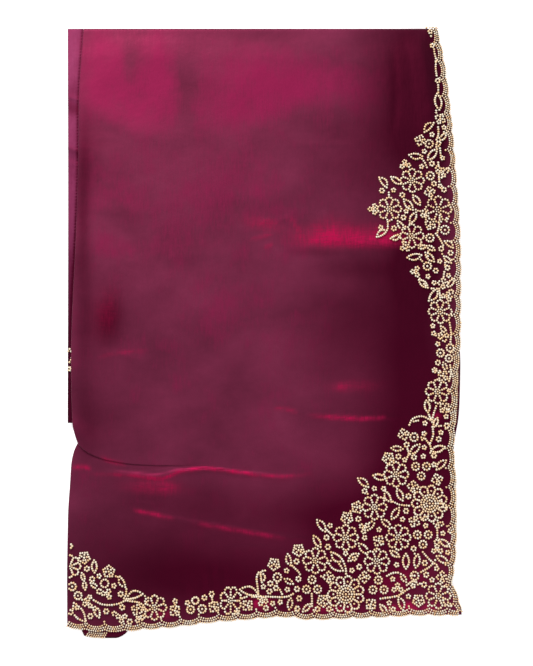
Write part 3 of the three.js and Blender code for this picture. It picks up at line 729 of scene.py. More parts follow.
def pack_loop(inset):
    """The pack's outline, set in by a distance that may vary along it."""
    low = end_hem(0) + PACK_SET_IN + PACK_CORNER
    high = PACK_TOP - PACK_TOP_SET_IN - PACK_CORNER
    up = np.linspace(low, high, LAYER_SIDE_POINTS)
    right = np.stack([right_hem(up) - PACK_SET_IN, up], axis=1)
    left = np.stack([follow(PACK_LEFT, "y", "x", up), up], axis=1)[::-1]
    share = np.linspace(0, 1, LAYER_END_POINTS)
    along_top = lerp(right[-1, 0] - PACK_CORNER, left[0, 0] + PACK_CORNER, share)
    along_end = lerp(left[-1, 0] + PACK_CORNER, right[0, 0] - PACK_CORNER, share)
    top = np.stack([along_top, 0 * along_top + PACK_TOP - PACK_TOP_SET_IN], axis=1)
    end = np.stack([along_end, end_hem(along_end) + PACK_SET_IN], axis=1)
    near = PACK_CORNER * (1 - math.sqrt(0.5))
    corners = [
        (right[-1, 0] - near, top[0, 1] - near), (left[0, 0] + near, top[0, 1] - near),
        (left[-1, 0] + near, end[0, 1] + near), (right[0, 0] - near, end[-1, 1] + near)]
    loop = np.vstack([
        right, corners[:1], top, corners[1:2], left, corners[2:3], end, corners[3:]])
    inward = np.vstack([
        0 * right + (-1, 0), [(-DIAGONAL, -DIAGONAL)], 0 * top + (0, -1), [(DIAGONAL, -DIAGONAL)],
        0 * left + (1, 0), [(DIAGONAL, DIAGONAL)], 0 * end + (0, 1), [(-DIAGONAL, DIAGONAL)]])
    return loop + inward * np.reshape(inset, (-1, 1))


def layers_cloth(material):
    base = pack_loop(0)
    run = np.append(0, np.cumsum(np.linalg.norm(np.diff(base, axis=0), axis=1)))
    whole = run[-1] + np.linalg.norm(base[-1] - base[0])
    turn = 2 * math.pi * run / whole

    def top_of(loop):
        x, y = loop.T
        beside = 1 - smoothstep(x, UNDER_RIGHT + STRIP_BED["full"], UNDER_RIGHT + STRIP_BED["gone"])
        beyond = smoothstep(y, UNDER_END - STRIP_BED["below"], UNDER_END - STRIP_BED["level"])
        return pack_top(x, y) - (2 * FOLD_RADIUS + AIR) * beside * beyond

    rings = [np.column_stack([pack_loop(UNDERSIDE_SET_IN), 0 * run])]
    phases = random.uniform(0, 2 * math.pi, (LAYERS, len(LAYER_WANDER)))
    depths = random.uniform(*LAYER_DEPTHS, LAYERS)
    waves, wave_high = LAYER_WAVES
    for layer in range(LAYERS):
        wander = sum(deep * np.sin(count * turn + phase)
                     for (count, deep), phase in zip(LAYER_WANDER, phases[layer]))
        set_in = np.maximum(depths[layer] + wander, LEAST_SET_IN)
        for step in LAYER_STEPS:
            nose = NOSE * (1 - math.sqrt(max(1 - (2 * step - 1) ** 2, 0)))
            loop = pack_loop(set_in + nose)
            wave = wave_high * np.sin(waves * turn + phases[layer, 0] + layer) * math.sin(
                math.pi * (layer + 1) / LAYERS)
            level = (top_of(loop) - PACK_LIP) * (layer + step) / LAYERS + wave
            rings.append(np.column_stack([loop, np.maximum(level, 0.0)]))
    for inset, below in zip(*LID.values()):
        loop = pack_loop(inset)
        rings.append(np.column_stack([loop, top_of(loop) - below]))
    points = np.vstack([*rings, rings[0].mean(axis=0), rings[-1].mean(axis=0)])
    return mesh_object("layers_cloth", points, stack_faces(len(rings), len(base)), material)


# Beads. A row of an array of beads is x, y, half length, half width and the turn of its length.
ROUND = 1.74  # radius of the small round beads
PITCH = 3.3  # from bead to bead
BEAD_TALL = 0.92  # for its width
BEAD_SUNK = 0.25  # into the cloth
BEAD_SIZES = (0.93, 1.07)  # how much smaller and larger than its kind a bead may be
BEAD_TURNED = 0.15  # how far each may turn, in radians
BEAD_SHAKEN = 0.14  # how far each may lie from its place
TONES = (0.15, 1.0)  # from the deepest gold to the lightest
AROUND = 8
LEVELS = np.radians([-42, 0, 42])


def bead_shape():
    """One bead of radius 1: its points, and its faces of four and of three corners."""
    turn = 2 * math.pi * np.arange(AROUND) / AROUND
    rings = [np.column_stack([math.cos(level) * np.cos(turn), math.cos(level) * np.sin(turn),
                              0 * turn + math.sin(level)]) for level in LEVELS]
    points = np.vstack([*rings, (0, 0, -1), (0, 0, 1)])
    return points, *stack_faces(len(LEVELS), AROUND)


def beads_object(name, beads, ground, material):
    """All the beads of a piece in one mesh. ground gives the point that each bead lies on."""
    count = len(beads)
    shape, quads, triangles = bead_shape()
    grown = random.uniform(*BEAD_SIZES, count)
    half = np.column_stack([
        beads[:, 2] * grown, beads[:, 3] * grown, beads[:, 3] * grown * BEAD_TALL])
    turn = beads[:, 4] + random.uniform(-BEAD_TURNED, BEAD_TURNED, count)
    local = shape[None, :, :] * half[:, None, :]
    cos, sin = np.cos(turn)[:, None], np.sin(turn)[:, None]
    shaken = beads[:, :2] + random.uniform(-BEAD_SHAKEN, BEAD_SHAKEN, (count, 2))
    centre = ground(shaken[:, 0], shaken[:, 1], half[:, 2] - BEAD_SUNK)
    points = np.stack([
        local[..., 0] * cos - local[..., 1] * sin, local[..., 0] * sin + local[..., 1] * cos,
        local[..., 2]], axis=-1) + centre[:, None, :]
    first = (np.arange(count) * len(shape))[:, None, None]
    faces = [(kind[None] + first).reshape(-1, kind.shape[1]) for kind in (quads, triangles)]
    piece = mesh_object(name, points.reshape(-1, 3), faces, material)
    add_numbers(piece, "tone", np.repeat(random.uniform(*TONES, count), len(shape)))
    # How high each point lies on its bead, for the painted shade towards the bead's foot
    add_numbers(piece, "crown", np.tile(np.clip(shape[:, 2], 0, 1), count))
    return piece


def row(points, radius=ROUND):
    points = np.atleast_2d(np.asarray(points, float))
    plain = np.full(len(points), radius)
    return np.column_stack([points, plain, plain, 0 * plain])


def ring(count, radius, turn=0.0, centre=(0, 0), bead=ROUND):
    angle = turn + 2 * math.pi * np.arange(count) / count
    return row(np.column_stack([np.cos(angle), np.sin(angle)]) * radius + centre, bead)


def line(points, radius=ROUND, pitch=PITCH):
    return row(curve_through(points, pitch)[0], radius)


def petals(count, inner, waist, crest, spoke_beads, arc_beads):
    """Spokes from the inner radius to the waist, and an arc from each to the next."""
    parts = []
    step = 2 * math.pi / count
    for k in range(count):
        angle = k * step
        spoke = np.linspace(inner, waist, spoke_beads)
        parts.append(row(np.outer(spoke, (math.cos(angle), math.sin(angle)))))
        share = np.arange(1, arc_beads + 1) / (arc_beads + 1)
        radius = waist + (crest - waist) * np.sin(math.pi * share)
        turn = angle + step * share
        parts.append(row(np.column_stack([np.cos(turn), np.sin(turn)]) * radius[:, None]))
    return np.vstack(parts)


def flower(size=1.0):
    """Eight petals round a beaded eye, 34 mm across."""
    return np.vstack([
        row((0, 0), ROUND * 0.8), ring(7, 3.6 * size, bead=ROUND * 0.8),
        petals(8, inner=7.1 * size, waist=14.0 * size, crest=17.4 * size, spoke_beads=3,
               arc_beads=3)])


def great_flower(size=1.0):
    """Eleven petals round three rings, a bead in each petal, 52 mm across."""
    return np.vstack([
        row((0, 0), ROUND), ring(8, 4.6 * size, bead=ROUND * 0.9), ring(15, 8.4 * size),
        ring(21, 12.0 * size, bead=ROUND * 0.95),
        ring(11, 17.6 * size, math.pi / 11, bead=ROUND * 0.9),
        petals(11, inner=15.2 * size, waist=20.8 * size, crest=25.4 * size, spoke_beads=3,
               arc_beads=4)])


def rosette(size=1.0):
    return np.vstack([row((0, 0), ROUND), ring(10, 5.5 * size)])


def open_ring(size=1.0):
    return ring(10, 5.4 * size)


def three_rosettes():
    away = 8.9
    places = [(away * math.cos(a), away * math.sin(a)) for a in np.radians([90, 210, 330])]
    return np.vstack([row(place, ROUND) for place in places]
                     + [ring(9, 5.0, 0.3, place) for place in places])


def bud(count=6, size=1.0):
    return ring(count, 0.51 * count * size, bead=ROUND * 0.97)


def blossom(lobes):
    """Small loops of beads round one bead, as three to five lobes over half a turn or more."""
    spread = {3: 105, 4: 90, 5: 72}[lobes]
    start = -spread * (lobes - 1) / 2
    away = 5.0 if lobes < 5 else 5.6
    parts = [row((0, 0), ROUND)]
    for k in range(lobes):
        angle = math.radians(start + spread * k)
        place = (away * math.cos(angle), away * math.sin(angle))
        parts.append(ring(5, 2.6, angle, place, ROUND * 0.95))
    return np.vstack(parts)


LEAF = {"width": 0.42, "girth": 1.08, "blunt": 0.85}  # width and half girth for its length


def leaf(length, bend=0.0):
    """An almond loop from its foot at the origin to its tip."""
    count = max(int(round(length * LEAF["girth"] / PITCH)), 3)
    share = np.linspace(0, 1, count + 1)
    middle = bend * length * np.sin(math.pi * share)
    half = LEAF["width"] * length / 2 * np.sin(math.pi * share) ** LEAF["blunt"]
    upper = np.column_stack([share * length, middle + half])
    lower = np.column_stack([share * length, middle - half])
    return row(np.vstack([upper, lower[1:-1]]))


def placed(motif, place, turn=0.0, squeeze=(1, 1)):
    """A motif turned by degrees and moved to a place on the cloth."""
    angle = math.radians(turn)
    x, y = motif[:, 0] * squeeze[0], motif[:, 1] * squeeze[1]
    moved = motif.copy()
    moved[:, 0] = x * math.cos(angle) - y * math.sin(angle) + place[0]
    moved[:, 1] = x * math.sin(angle) + y * math.cos(angle) + place[1]
    moved[:, 4] += angle
    return moved


# The embroidery, in four fields. Places are in pixels of the photograph: a motif's middle with
# its size where that isn't 1, a blossom's middle with its lobes and its turn, a leaf's foot and
# tip with its bend where it has one, the points of a stem. Turns are in degrees from the right,
# upwards.
FIELDS = {
    "upper": {
        "flowers": ((412, 181), (389, 209.5), (411.5, 236.5), (438.2, 209.8, 1.12)),
        "rosettes": (
            (428.7, 144.7), (430, 176.3), (429.5, 238.3), (427, 266.5), (444.8, 230.2, 1.1)),
        "blossoms": (
            (420, 141, 4, 120), (440, 119.5, 4, 20), (405, 165.5, 3, 100), (373.5, 209.6, 3, 180),
            (429.5, 192.5, 4, 60), (405, 247, 3, 210), (430, 225, 4, 20), (416, 272, 3, 180),
            (443, 283.5, 4, 40), (441, 173, 3, 60), (446.5, 297, 3, 60), (426, 216, 3, 180)),
        "buds": (
            (424, 152), (431.6, 164.2), (421.3, 167.1), (381.7, 191.2), (393.3, 190.6),
            (402, 195.5), (405.8, 211.8), (443.7, 190), (442.4, 158.3), (437.5, 168.5),
            (380.6, 228), (393.7, 228.8), (433.9, 283), (447.3, 268), (448.4, 275.6), (435.6, 271),
            (440, 186.5), (451, 292), (446, 220), (441, 249), (432.2, 46), (438, 140.5),
            (422.5, 215.5), (437.6, 81), (430, 32)),
        "leaves": (
            (439, 110.5, 436.8, 94.5), (424, 133, 433, 124, 0.1), (446, 133.5, 440, 141),
            (440, 141, 436, 148), (422, 157, 409, 155.5, 0.05), (427.5, 160.5, 436.5, 150),
            (441.4, 178, 449, 169, 0.1), (386.5, 188, 379, 178, -0.1), (400.5, 184.5, 391, 177.5),
            (412.7, 210.5, 403.5, 200), (419.8, 205.5, 412.8, 195.8), (415.6, 213, 409.6, 223.8),
            (386.5, 231, 376.5, 237.5, -0.08), (404.5, 229.5, 397.5, 221.5, 0.1),
            (399.5, 235, 390.3, 239, 0.15), (426.4, 246.3, 418.5, 248.5),
            (426.4, 246.3, 434.5, 250.5), (444.5, 241.5, 453, 248, 0.1),
            (421, 255.5, 407, 258, 0.05), (425, 253, 433.8, 262), (443.7, 256.6, 451, 263),
            (427.6, 288, 418.6, 280.3), (448, 287, 454, 279), (436.8, 289, 428.5, 301, 0.08)),
        "stems": (
            ((437.7, 128), (438, 134), (437.5, 137)), ((439.6, 149), (440.5, 156)),
            ((421.8, 159.5), (424.5, 163), (426.6, 168)), ((437.9, 163), (438.5, 172), (439, 184)),
            ((388.6, 193), (388.6, 198)), ((409, 207), (418.5, 211.5), (427, 210.5)),
            ((387.5, 222.5), (387.5, 229)), ((435.6, 234), (440, 240), (444, 247.5)),
            ((440, 250), (444.8, 262), (443.3, 279)), ((420.5, 260), (423.5, 263)),
            ((419.5, 279), (427.6, 287.8), (438, 289)), ((439, 289), (440.2, 300)),
            ((426.5, 28.5), (429, 32), (431, 36.5)), ((434, 49.5), (435, 56), (436.8, 61)),
            ((435.7, 62.5), (435.6, 69), (436.4, 76)), ((438, 85.5), (438, 93)),
            ((435.8, 111.5), (436.2, 120)), ((438, 125), (438.4, 132)), ((428, 247), (427.6, 259)),
            ((439.5, 216), (439, 226), (437, 233))),
    },
    "side": {
        "flowers": ((440, 311.8, 0.98), (437.4, 391.6, 0.98)),
        "rosettes": ((450, 348, 0.95), (440.2, 353.1, 0.95), (448.8, 358.4, 0.9)),
        "blossoms": ((443.2, 336.5, 4, 150), (442.8, 376, 4, 100), (444.5, 408, 4, 0)),
        "buds": (
            (433.3, 333.6), (434.5, 370.4), (424.8, 423.2), (446.6, 425.6), (440.8, 432.4),
            (438.6, 439.2), (446, 416.5)),
        "leaves": (
            (446, 333, 440.5, 326.5), (446.5, 371, 443, 362.5), (427.8, 412.5, 426.2, 400.5),
            (433.8, 427, 437.2, 418), (440, 336, 434, 334), (441, 373, 435, 370.5)),
        "stems": (
            ((449.4, 323), (451, 333), (450.3, 342)), ((449.4, 363), (451, 372), (449, 381)),
            ((436.8, 404), (432, 419.7), (433, 434.7), (430, 443)),
            ((430, 420), (421.8, 416.3), (412.7, 418.6), (409, 425)),
            ((418, 420.5), (413.5, 421.5)), ((434.5, 426.5), (443, 425.8)),
            ((427.6, 413), (430.5, 418.5))),
    },
    "corner": {
        "great": ((429.4, 503.4), (345.8, 594)),
        "flowers": (
            (395.8, 474.3), (374.3, 507), (345.6, 537.3), (315.3, 560.3), (398.2, 537.3),
            (376.7, 561), (438.2, 595.8)),
        "rosettes": ((413.7, 437.2), (277.4, 577), (414.4, 575.6)),
        "threes": ((420.8, 469.6, 180), (422.6, 537.8, 60), (311.9, 585.8, 0), (378.2, 586.2, 0)),
        "blossoms": (
            (403.3, 434.4, 4, 150), (388, 458.2, 5, 120), (437, 479.4, 4, 60),
            (412.8, 486.4, 4, 40), (357.2, 507.2, 5, 150), (346.8, 517.8, 5, 120),
            (414, 521.4, 4, 200), (438, 522.8, 4, 30), (378.4, 540.6, 4, 100), (298.5, 550, 5, 130),
            (274, 564, 5, 120), (328.6, 576.8, 4, 45), (364.2, 576.8, 4, 135), (442, 577, 4, 45),
            (370.8, 604, 4, 0), (418.4, 600.4, 5, 270), (323, 600.6, 5, 200),
            (364.4, 527.8, 3, 150), (397.2, 588.6, 3, 90), (441, 506, 3, 0), (437, 550, 3, 90)),
        "buds": (
            (423.8, 433.6), (406.4, 444.8), (424, 447.4), (433.8, 455.6), (404.4, 459.8),
            (413.6, 457.2), (433.8, 464.6), (364.4, 491), (374.2, 488.4), (405.8, 510.8),
            (330, 525.4), (326.4, 537.4), (364.4, 537.6), (436.6, 542), (345.4, 553.2),
            (327.8, 546.6), (351.8, 570), (413.4, 548.4), (436.6, 568.4), (426, 574.6),
            (286.6, 570.4), (276, 587.8), (263.4, 586.4), (298.4, 578.6), (392.4, 578.8),
            (423.8, 584.4), (412.8, 585.6), (299.2, 598.2), (280.2, 602), (266, 608),
            (383.4, 488.6), (329, 609), (450, 531), (425, 518.5), (354, 558.5)),
        "leaves": (
            (402.4, 449, 391, 448), (409.8, 454, 419.4, 444.4), (431, 451, 444.6, 447),
            (421.8, 440, 424.2, 431.6), (436.5, 469.6, 446, 460.4, 0.05), (385, 478.6, 373, 475.4),
            (368.2, 487, 357.6, 478.2, -0.05), (391, 501.8, 385, 491, 0.08),
            (402.4, 500.4, 397, 488.8), (398.8, 507.6, 391.4, 519), (325, 531.4, 317, 519.8, -0.05),
            (367.6, 530, 374.4, 520.6, 0.05), (390.6, 527, 381.4, 519.4),
            (439.4, 539.4, 449.4, 546.6), (368, 553.6, 358.4, 543.2), (320.4, 546.8, 313.6, 535.8),
            (343, 560.8, 331, 552, 0.1), (348.2, 560.6, 358.4, 553.6, 0.05),
            (342.8, 570.4, 328, 560.8), (399, 556.6, 390, 550.8), (405.7, 568.6, 405.7, 553.6),
            (415.4, 567.6, 417.8, 554.2), (436.4, 556, 448, 562.8),
            (290.4, 565, 287.6, 553.8, 0.05), (293, 583.6, 284.6, 578.6), (406, 582, 400.6, 573.8),
            (398.6, 597, 403, 610, 0.05), (380, 604.6, 386.6, 612.4), (290.8, 598, 289.2, 609.4),
            (310.4, 604, 302.8, 611.4), (443, 600, 451, 606), (262, 582, 261, 572, -0.15)),
        "stems": (
            ((425.2, 439), (430.6, 447), (430, 452.6), (433, 456)), ((396, 462), (398.4, 466)),
            ((406.4, 447), (408.4, 453.8), (405.8, 459)),
            ((390.4, 500.4), (398.8, 504.4), (408.8, 505.6)), ((366, 487), (368, 496)),
            ((327, 530), (333, 536)), ((422.6, 552), (430, 560), (436.4, 564.6)),
            ((436.4, 558), (430, 566), (418.4, 573), (409.8, 576)),
            ((386.6, 575.6), (393, 572.6), (401, 573.6), (405.8, 581)),
            ((380.4, 598.4), (397.2, 595.6), (408.6, 588.4), (424, 581.6)),
            ((343, 561), (345.6, 568), (345.8, 576)), ((290.6, 564), (298, 571), (300, 574)),
            ((252, 596.8), (264, 596.4), (284.8, 596.8), (293, 593.6)),
            ((311.7, 593.6), (312, 606)),
            ((258.4, 593), (256.7, 578), (259.4, 571.6), (265, 570.2)), ((364, 533), (364, 529)),
            ((376, 546), (376, 551)), ((413.6, 551), (415.4, 556)), ((437, 528), (437.4, 540)),
            ((277, 583), (283, 596)), ((321, 576), (326, 580)),
            ((406.6, 585), (412, 581), (416, 582)), ((353, 508), (349, 513))),
    },
    "bottom": {
        "flowers": ((154.6, 607.4, 0.97),),
        "rosettes": (
            (72.4, 586.5, 0.95), (78.2, 595.6, 0.92), (190.6, 609.4, 0.9), (202.2, 608.8, 0.95)),
        "rings": ((104.9, 583.2), (195.4, 600.4, 0.85)),
        "blossoms": (
            (84.4, 557.6, 5, 60), (109, 571.4, 5, 90), (107, 594.2, 3, 60), (88.4, 602.6, 3, 200),
            (121.6, 617.2, 3, 270), (137, 609.6, 4, 200), (139, 617, 3, 250), (175, 610.6, 4, 90),
            (214, 606.8, 4, 100), (247.6, 605.4, 4, 90), (262.4, 600.2, 3, 240)),
        "buds": (
            (70.6, 546), (121, 593.8), (95, 608.4), (106.4, 611.2), (114.4, 613.4), (122.4, 607.2),
            (77.4, 607.4), (70.8, 612.2), (175.2, 601), (211.7, 593.8), (264.2, 598.8), (92.4, 579),
            (90, 597), (99.4, 591), (146.6, 600), (237, 611), (187.6, 602.6)),
        "leaves": (
            (94.8, 572.4, 94.4, 560.2), (125.6, 587, 120, 576.4, 0.1), (85.4, 589.6, 84.4, 581),
            (84.4, 581, 82, 573), (127, 598.6, 143, 593.6, 0.12), (94.8, 605.6, 99.2, 617.4),
            (74, 603, 85.4, 621.4, -0.05), (258.2, 594.8, 240, 589.2, -0.08), (91, 583, 98, 588)),
        "stems": (
            ((116, 576), (125, 581), (126.6, 592), (124.4, 598)),
            ((92, 598.8), (103, 604.2), (116.2, 604.2), (125.8, 600.2)),
            ((125.8, 600.2), (139.6, 602.6), (146, 609)), ((212, 597.4), (213.6, 606)),
            ((240, 599), (251.6, 595), (258, 594.4)), ((143, 593.8), (147.4, 597.6)),
            ((175.2, 604.6), (175, 608)), ((80, 600), (92, 598.8))),
    },
}
FLOWER_TURN = 22.5
MOTIFS = (
    ("great", great_flower, 0), ("flowers", flower, FLOWER_TURN), ("rosettes", rosette, 0),
    ("rings", open_ring, 0),
)
CLOSEST = 2.15  # two beads of the embroidery
EDGE_CLOSEST = 1.7  # two beads of the edging
FIELD_MARGIN = 3.0  # from the cloth's edge to the middle of the nearest bead of the embroidery
FILL_NEAR = 15.0  # a bare place has beads on all four sides within this
FILL_STEP = 1.5
FILL_ROOM = 7.3  # a bud goes where there is this much room
HALF_FLOWER = (70.0, 566.2, 0.88)  # the one that the left fold cuts
SQUEEZED_FLOWER = (230.8, 600.6, (0.86, 1.12))  # in the soft fold beside the ripples


def field_beads(field):
    """The beads of all the motifs of a field."""
    parts = []
    for kind, motif, turn in MOTIFS:
        parts += [placed(motif(*size), cloth(x, y), turn) for x, y, *size in field.get(kind, ())]
    parts += [placed(three_rosettes(), cloth(x, y), turn)
              for x, y, turn in field.get("threes", ())]
    parts += [placed(blossom(lobes), cloth(x, y), turn) for x, y, lobes, turn in field["blossoms"]]
    parts += [placed(bud(5 + k % 2), cloth(x, y), 40 * k)
              for k, (x, y) in enumerate(field["buds"])]
    for foot_x, foot_y, tip_x, tip_y, *bend in field["leaves"]:
        foot, tip = cloth(foot_x, foot_y), cloth(tip_x, tip_y)
        way = tip - foot
        length = float(np.hypot(*way))
        turn = math.degrees(math.atan2(way[1], way[0]))
        parts.append(placed(leaf(length, *bend), foot, turn))
    parts += [line(cloth(*np.array(stem, float).T)) for stem in field["stems"]]
    return np.vstack(parts)


def thinned(beads, closest):
    """The beads without those that would lie inside one laid before them."""
    kept = []
    cells = {}
    for bead in beads:
        cell = (int(bead[0] // closest), int(bead[1] // closest))
        near = [other for i in (-1, 0, 1) for j in (-1, 0, 1)
                for other in cells.get((cell[0] + i, cell[1] + j), ())]
        if all(math.hypot(bead[0] - other[0], bead[1] - other[1]) > closest for other in near):
            cells.setdefault(cell, []).append(bead)
            kept.append(bead)
    return np.array(kept)


def surrounded(spots, beads):
    """Which spots have beads near them on all four sides."""
    off = beads[None, :, :2] - spots[:, None]
    near = np.hypot(off[..., 0], off[..., 1]) < FILL_NEAR
    return np.all([
        np.any(near & (side * off[..., 0] > 0) & (end * off[..., 1] > 0), axis=1)
        for side in (-1, 1) for end in (-1, 1)], axis=0)


def filled(beads):
    """The field with a bud in each bare place between the other motifs."""
    low, high = beads[:, :2].min(axis=0), beads[:, :2].max(axis=0)
    across, up = np.meshgrid(*(np.arange(low[k], high[k], FILL_STEP) for k in (0, 1)))
    spots = np.column_stack([across.ravel(), up.ravel()])
    spots += random.uniform(-0.5, 0.5, spots.shape) * FILL_STEP
    room = np.full(len(spots), np.inf)
    for bead in beads:
        room = np.minimum(room, np.hypot(spots[:, 0] - bead[0], spots[:, 1] - bead[1]))
    open_spots = np.flatnonzero(room > FILL_ROOM)
    open_spots = open_spots[surrounded(spots[open_spots], beads)]
    while len(open_spots) and room[open_spots].max() > FILL_ROOM:
        best = open_spots[np.argmax(room[open_spots])]
        added_beads = placed(bud(random.integers(5, 7)), spots[best], random.uniform(0, 180))
        beads = np.vstack([beads, added_beads])
        for bead in added_beads:
            room = np.minimum(room, np.hypot(spots[:, 0] - bead[0], spots[:, 1] - bead[1]))
    return beads


def inside_front(beads):
    """The beads that lie on the front panel, clear of its edges."""
    x, y = beads[:, 0], beads[:, 1]
    left = np.where(
        y > tuck_edge(x), follow(UPPER_LEFT, "y", "x", y), follow(LOWER_LEFT, "y", "x", y))
    return beads[(x > left + FIELD_MARGIN) & (x < right_hem(y) - FIELD_MARGIN)
                 & (y > end_hem(x) + FIELD_MARGIN)]


# Rows of the edging: how far out at the notches and at the crests, and the halves and the slant
# of its beads
EDGE_ROWS = table(
    "notch crest long wide slant", (2.0, 4.6, 1.42, 1.3, 68), (-2.0, 1.8, 1.4, 1.27, 64),
    (-6.0, -1.0, 1.45, 1.32, 60))
BACK_EDGE_ROWS = table(
    "notch crest long wide slant", (2.0, 2.8, 1.42, 1.3, 68), (-0.8, 0.0, 1.4, 1.27, 64),
    (-3.6, -2.8, 1.42, 1.3, 60))
EDGE_PITCH = 3.1  # from bead to bead along a row
SPUR = {"in": 8.4, "aside": 0.9, "radius": ROUND * 0.92}  # the bead inside each notch


def edge_rows(edge, rows):
    parts = []
    for notch, crest, long, wide, slant in zip(*rows.values()):
        ahead = crest / math.tan(math.radians(slant))  # so that the beads of all rows line up
        run = np.arange(EDGE_PITCH / 2, edge.length, EDGE_PITCH) + ahead
        run = run[run < edge.length]
        places, turn = edge.at(run, lerp(notch, crest, edge.arch(run)))
        parts.append(np.column_stack([
            places, np.full(len(run), long), np.full(len(run), wide), turn + math.radians(slant)]))
    return np.vstack(parts)


def edge_beads(edge):
    """The scalloped edging in rows of beads, with one more bead inwards at each notch."""
    notch = np.arange(1, edge.scallops) * edge.length / edge.scallops
    spur = row(edge.at(notch + SPUR["aside"], -SPUR["in"])[0], SPUR["radius"])
    return thinned(np.vstack([edge_rows(edge, EDGE_ROWS), spur]), EDGE_CLOSEST)


def stitched_beads(name):
    """The beads of a field that lie on the front panel, with buds in its bare places."""
    parts = field_beads(FIELDS[name])
    if name == "bottom":
        x, y, size = HALF_FLOWER
        half_flower = placed(flower(size), cloth(x, y), FLOWER_TURN)
        x, y, squeeze = SQUEEZED_FLOWER
        parts = np.vstack([placed(flower(), cloth(x, y), 0, squeeze), half_flower, parts])
    return inside_front(filled(thinned(inside_front(parts), CLOSEST)))


BACK_EDGE_POINTS = {"down": 12, "across": 5}


def back_edges():
    """The edging of the folded-back half, down its right side and across its end."""
    down = np.linspace(*BACK_EDGE_RIGHT, BACK_EDGE_POINTS["down"])
    right = back_right(down) - follow(BACK_BEADS_IN, "y", "inside", down)
    across = np.linspace(*BACK_EDGE_END, BACK_EDGE_POINTS["across"])
    low = back_end(across) + BACK_BEADS_UP
    lines = (np.column_stack([right, down]), np.column_stack([across, low]))
    return [edge_rows(Edge(line), BACK_EDGE_ROWS) for line in lines]


def front_ground(x, y, high):
    """Where beads lie on the front panel, the edging's beads at the far end's bend included."""
    flat = np.minimum(y, BEND_START)
    upper = smoothstep(y - tuck_edge(x), -TUCK_REACH, TUCK_REACH)
    edge_x = np.minimum(x, right_hem(flat))
    lift = front_lift(edge_x, flat, upper)
    clear = BEND_CLEAR * smoothstep(y, BEND_START - SCALLOP / 3, BEND_START)
    return on_pack(x, y, FRONT_TOP + lift + clear + high)


def back_ground(x, y, high):
    return on_pack(x, y, BACK_HIGH + 0 * high)


def strip_ground(x, y, high):
    return np.stack([x, y, pack_top(x, y) + high], axis=-1)


STRIP_LEAF = {"foot": (69.0, 362.0), "tip": (68.6, 349.0)}  # pixels of the photograph
STRIP_BUD = (68.8, 368.8)
STRIP_MARGIN = 1.0


def strip_beads():
    """What shows of a leaf and a bud on the strip, at its left fold."""
    foot, tip = cloth(*STRIP_LEAF["foot"]), cloth(*STRIP_LEAF["tip"])
    length = float(np.hypot(*(tip - foot)))
    beads = np.vstack([placed(leaf(length), foot, 90), placed(bud(size=0.8), cloth(*STRIP_BUD))])
    left = follow(UNDER_LEFT, "y", "x", beads[:, 1])
    return beads[beads[:, 0] > left + STRIP_MARGIN]


# Materials
def node(tree, kind, **values):
    made = tree.nodes.new(kind)
    for name, value in values.items():
        if hasattr(made, name):
            setattr(made, name, value)
        else:
            made.inputs[name.replace("_", " ")].default_value = value
    return made


def noise(tree, stretch, detail=3.0, rough=0.5):
    """Noise with its own scale along X, Y and Z, in repeats to the metre."""
    coordinates = node(tree, "ShaderNodeTexCoord")
    mapping = node(tree, "ShaderNodeMapping")
    mapping.inputs["Scale"].default_value = stretch
    made = node(tree, "ShaderNodeTexNoise", Scale=1.0, Detail=detail, Roughness=rough)
    tree.links.new(coordinates.outputs["Object"], mapping.inputs["Vector"])
    tree.links.new(mapping.outputs["Vector"], made.inputs["Vector"])
    return made.outputs["Fac"]


def scaled(tree, value, from_range, to_range):
    made = node(tree, "ShaderNodeMapRange")
    tree.links.new(value, made.inputs["Value"])
    for name, number in zip(("From Min", "From Max", "To Min", "To Max"), (*from_range, *to_range)):
        made.inputs[name].default_value = number
    return made.outputs["Result"]


def mixed(tree, share, first, second, blend="MIX"):
    """A colour mixed from two, each a colour or an output of another node."""
    made = node(tree, "ShaderNodeMix", data_type="RGBA", blend_type=blend)
    colour_a = [s for s in made.inputs if s.name == "A" and s.type == "RGBA"][0]
    colour_b = [s for s in made.inputs if s.name == "B" and s.type == "RGBA"][0]
    factor = [s for s in made.inputs if s.name == "Factor" and s.type == "VALUE"][0]
    for value, socket in ((share, factor), (first, colour_a), (second, colour_b)):
        if isinstance(value, bpy.types.NodeSocket):
            tree.links.new(value, socket)
        else:
            socket.default_value = value
    return [s for s in made.outputs if s.type == "RGBA"][0]


def number_of(tree, name):
    """The number of that name which each point of the mesh carries."""
    return node(tree, "ShaderNodeAttribute", attribute_name=name).outputs["Fac"]


def combined(tree, operation, first, second):
    made = node(tree, "ShaderNodeMath", operation=operation)
    for value, socket in zip((first, second), made.inputs):
        if isinstance(value, bpy.types.NodeSocket):
            tree.links.new(value, socket)
        else:
            socket.default_value = value
    return made.outputs["Value"]


def multiplied(tree, first, second):
    return combined(tree, "MULTIPLY", first, second)


def added(tree, first, second):
    return combined(tree, "ADD", first, second)


def new_material(name):
    material = bpy.data.materials.new(name)
    material.use_nodes = True
    tree = material.node_tree
    return material, tree, tree.nodes["Principled BSDF"]


def bumped(tree, shader, *heights):
    """Bumps one after another, each of a height output, its depth in metres and its strength."""
    normal = None
    for height, distance, strength in heights:
        bump = node(tree, "ShaderNodeBump", Strength=strength, Distance=distance)
        tree.links.new(height, bump.inputs["Height"])
        if normal is not None:
            tree.links.new(normal, bump.inputs["Normal"])
        normal = bump.outputs["Normal"]
    tree.links.new(normal, shader.inputs["Normal"])


def rgb(red, green, blue):
    """A colour that is given as it looks on a screen, from 0 to 255."""
    linear = []
    for value in (red, green, blue):
        share = value / 255
        linear.append(share / 12.92 if share <= 0.04045 else ((share + 0.055) / 1.055) ** 2.4)
    return (*linear, 1.0)


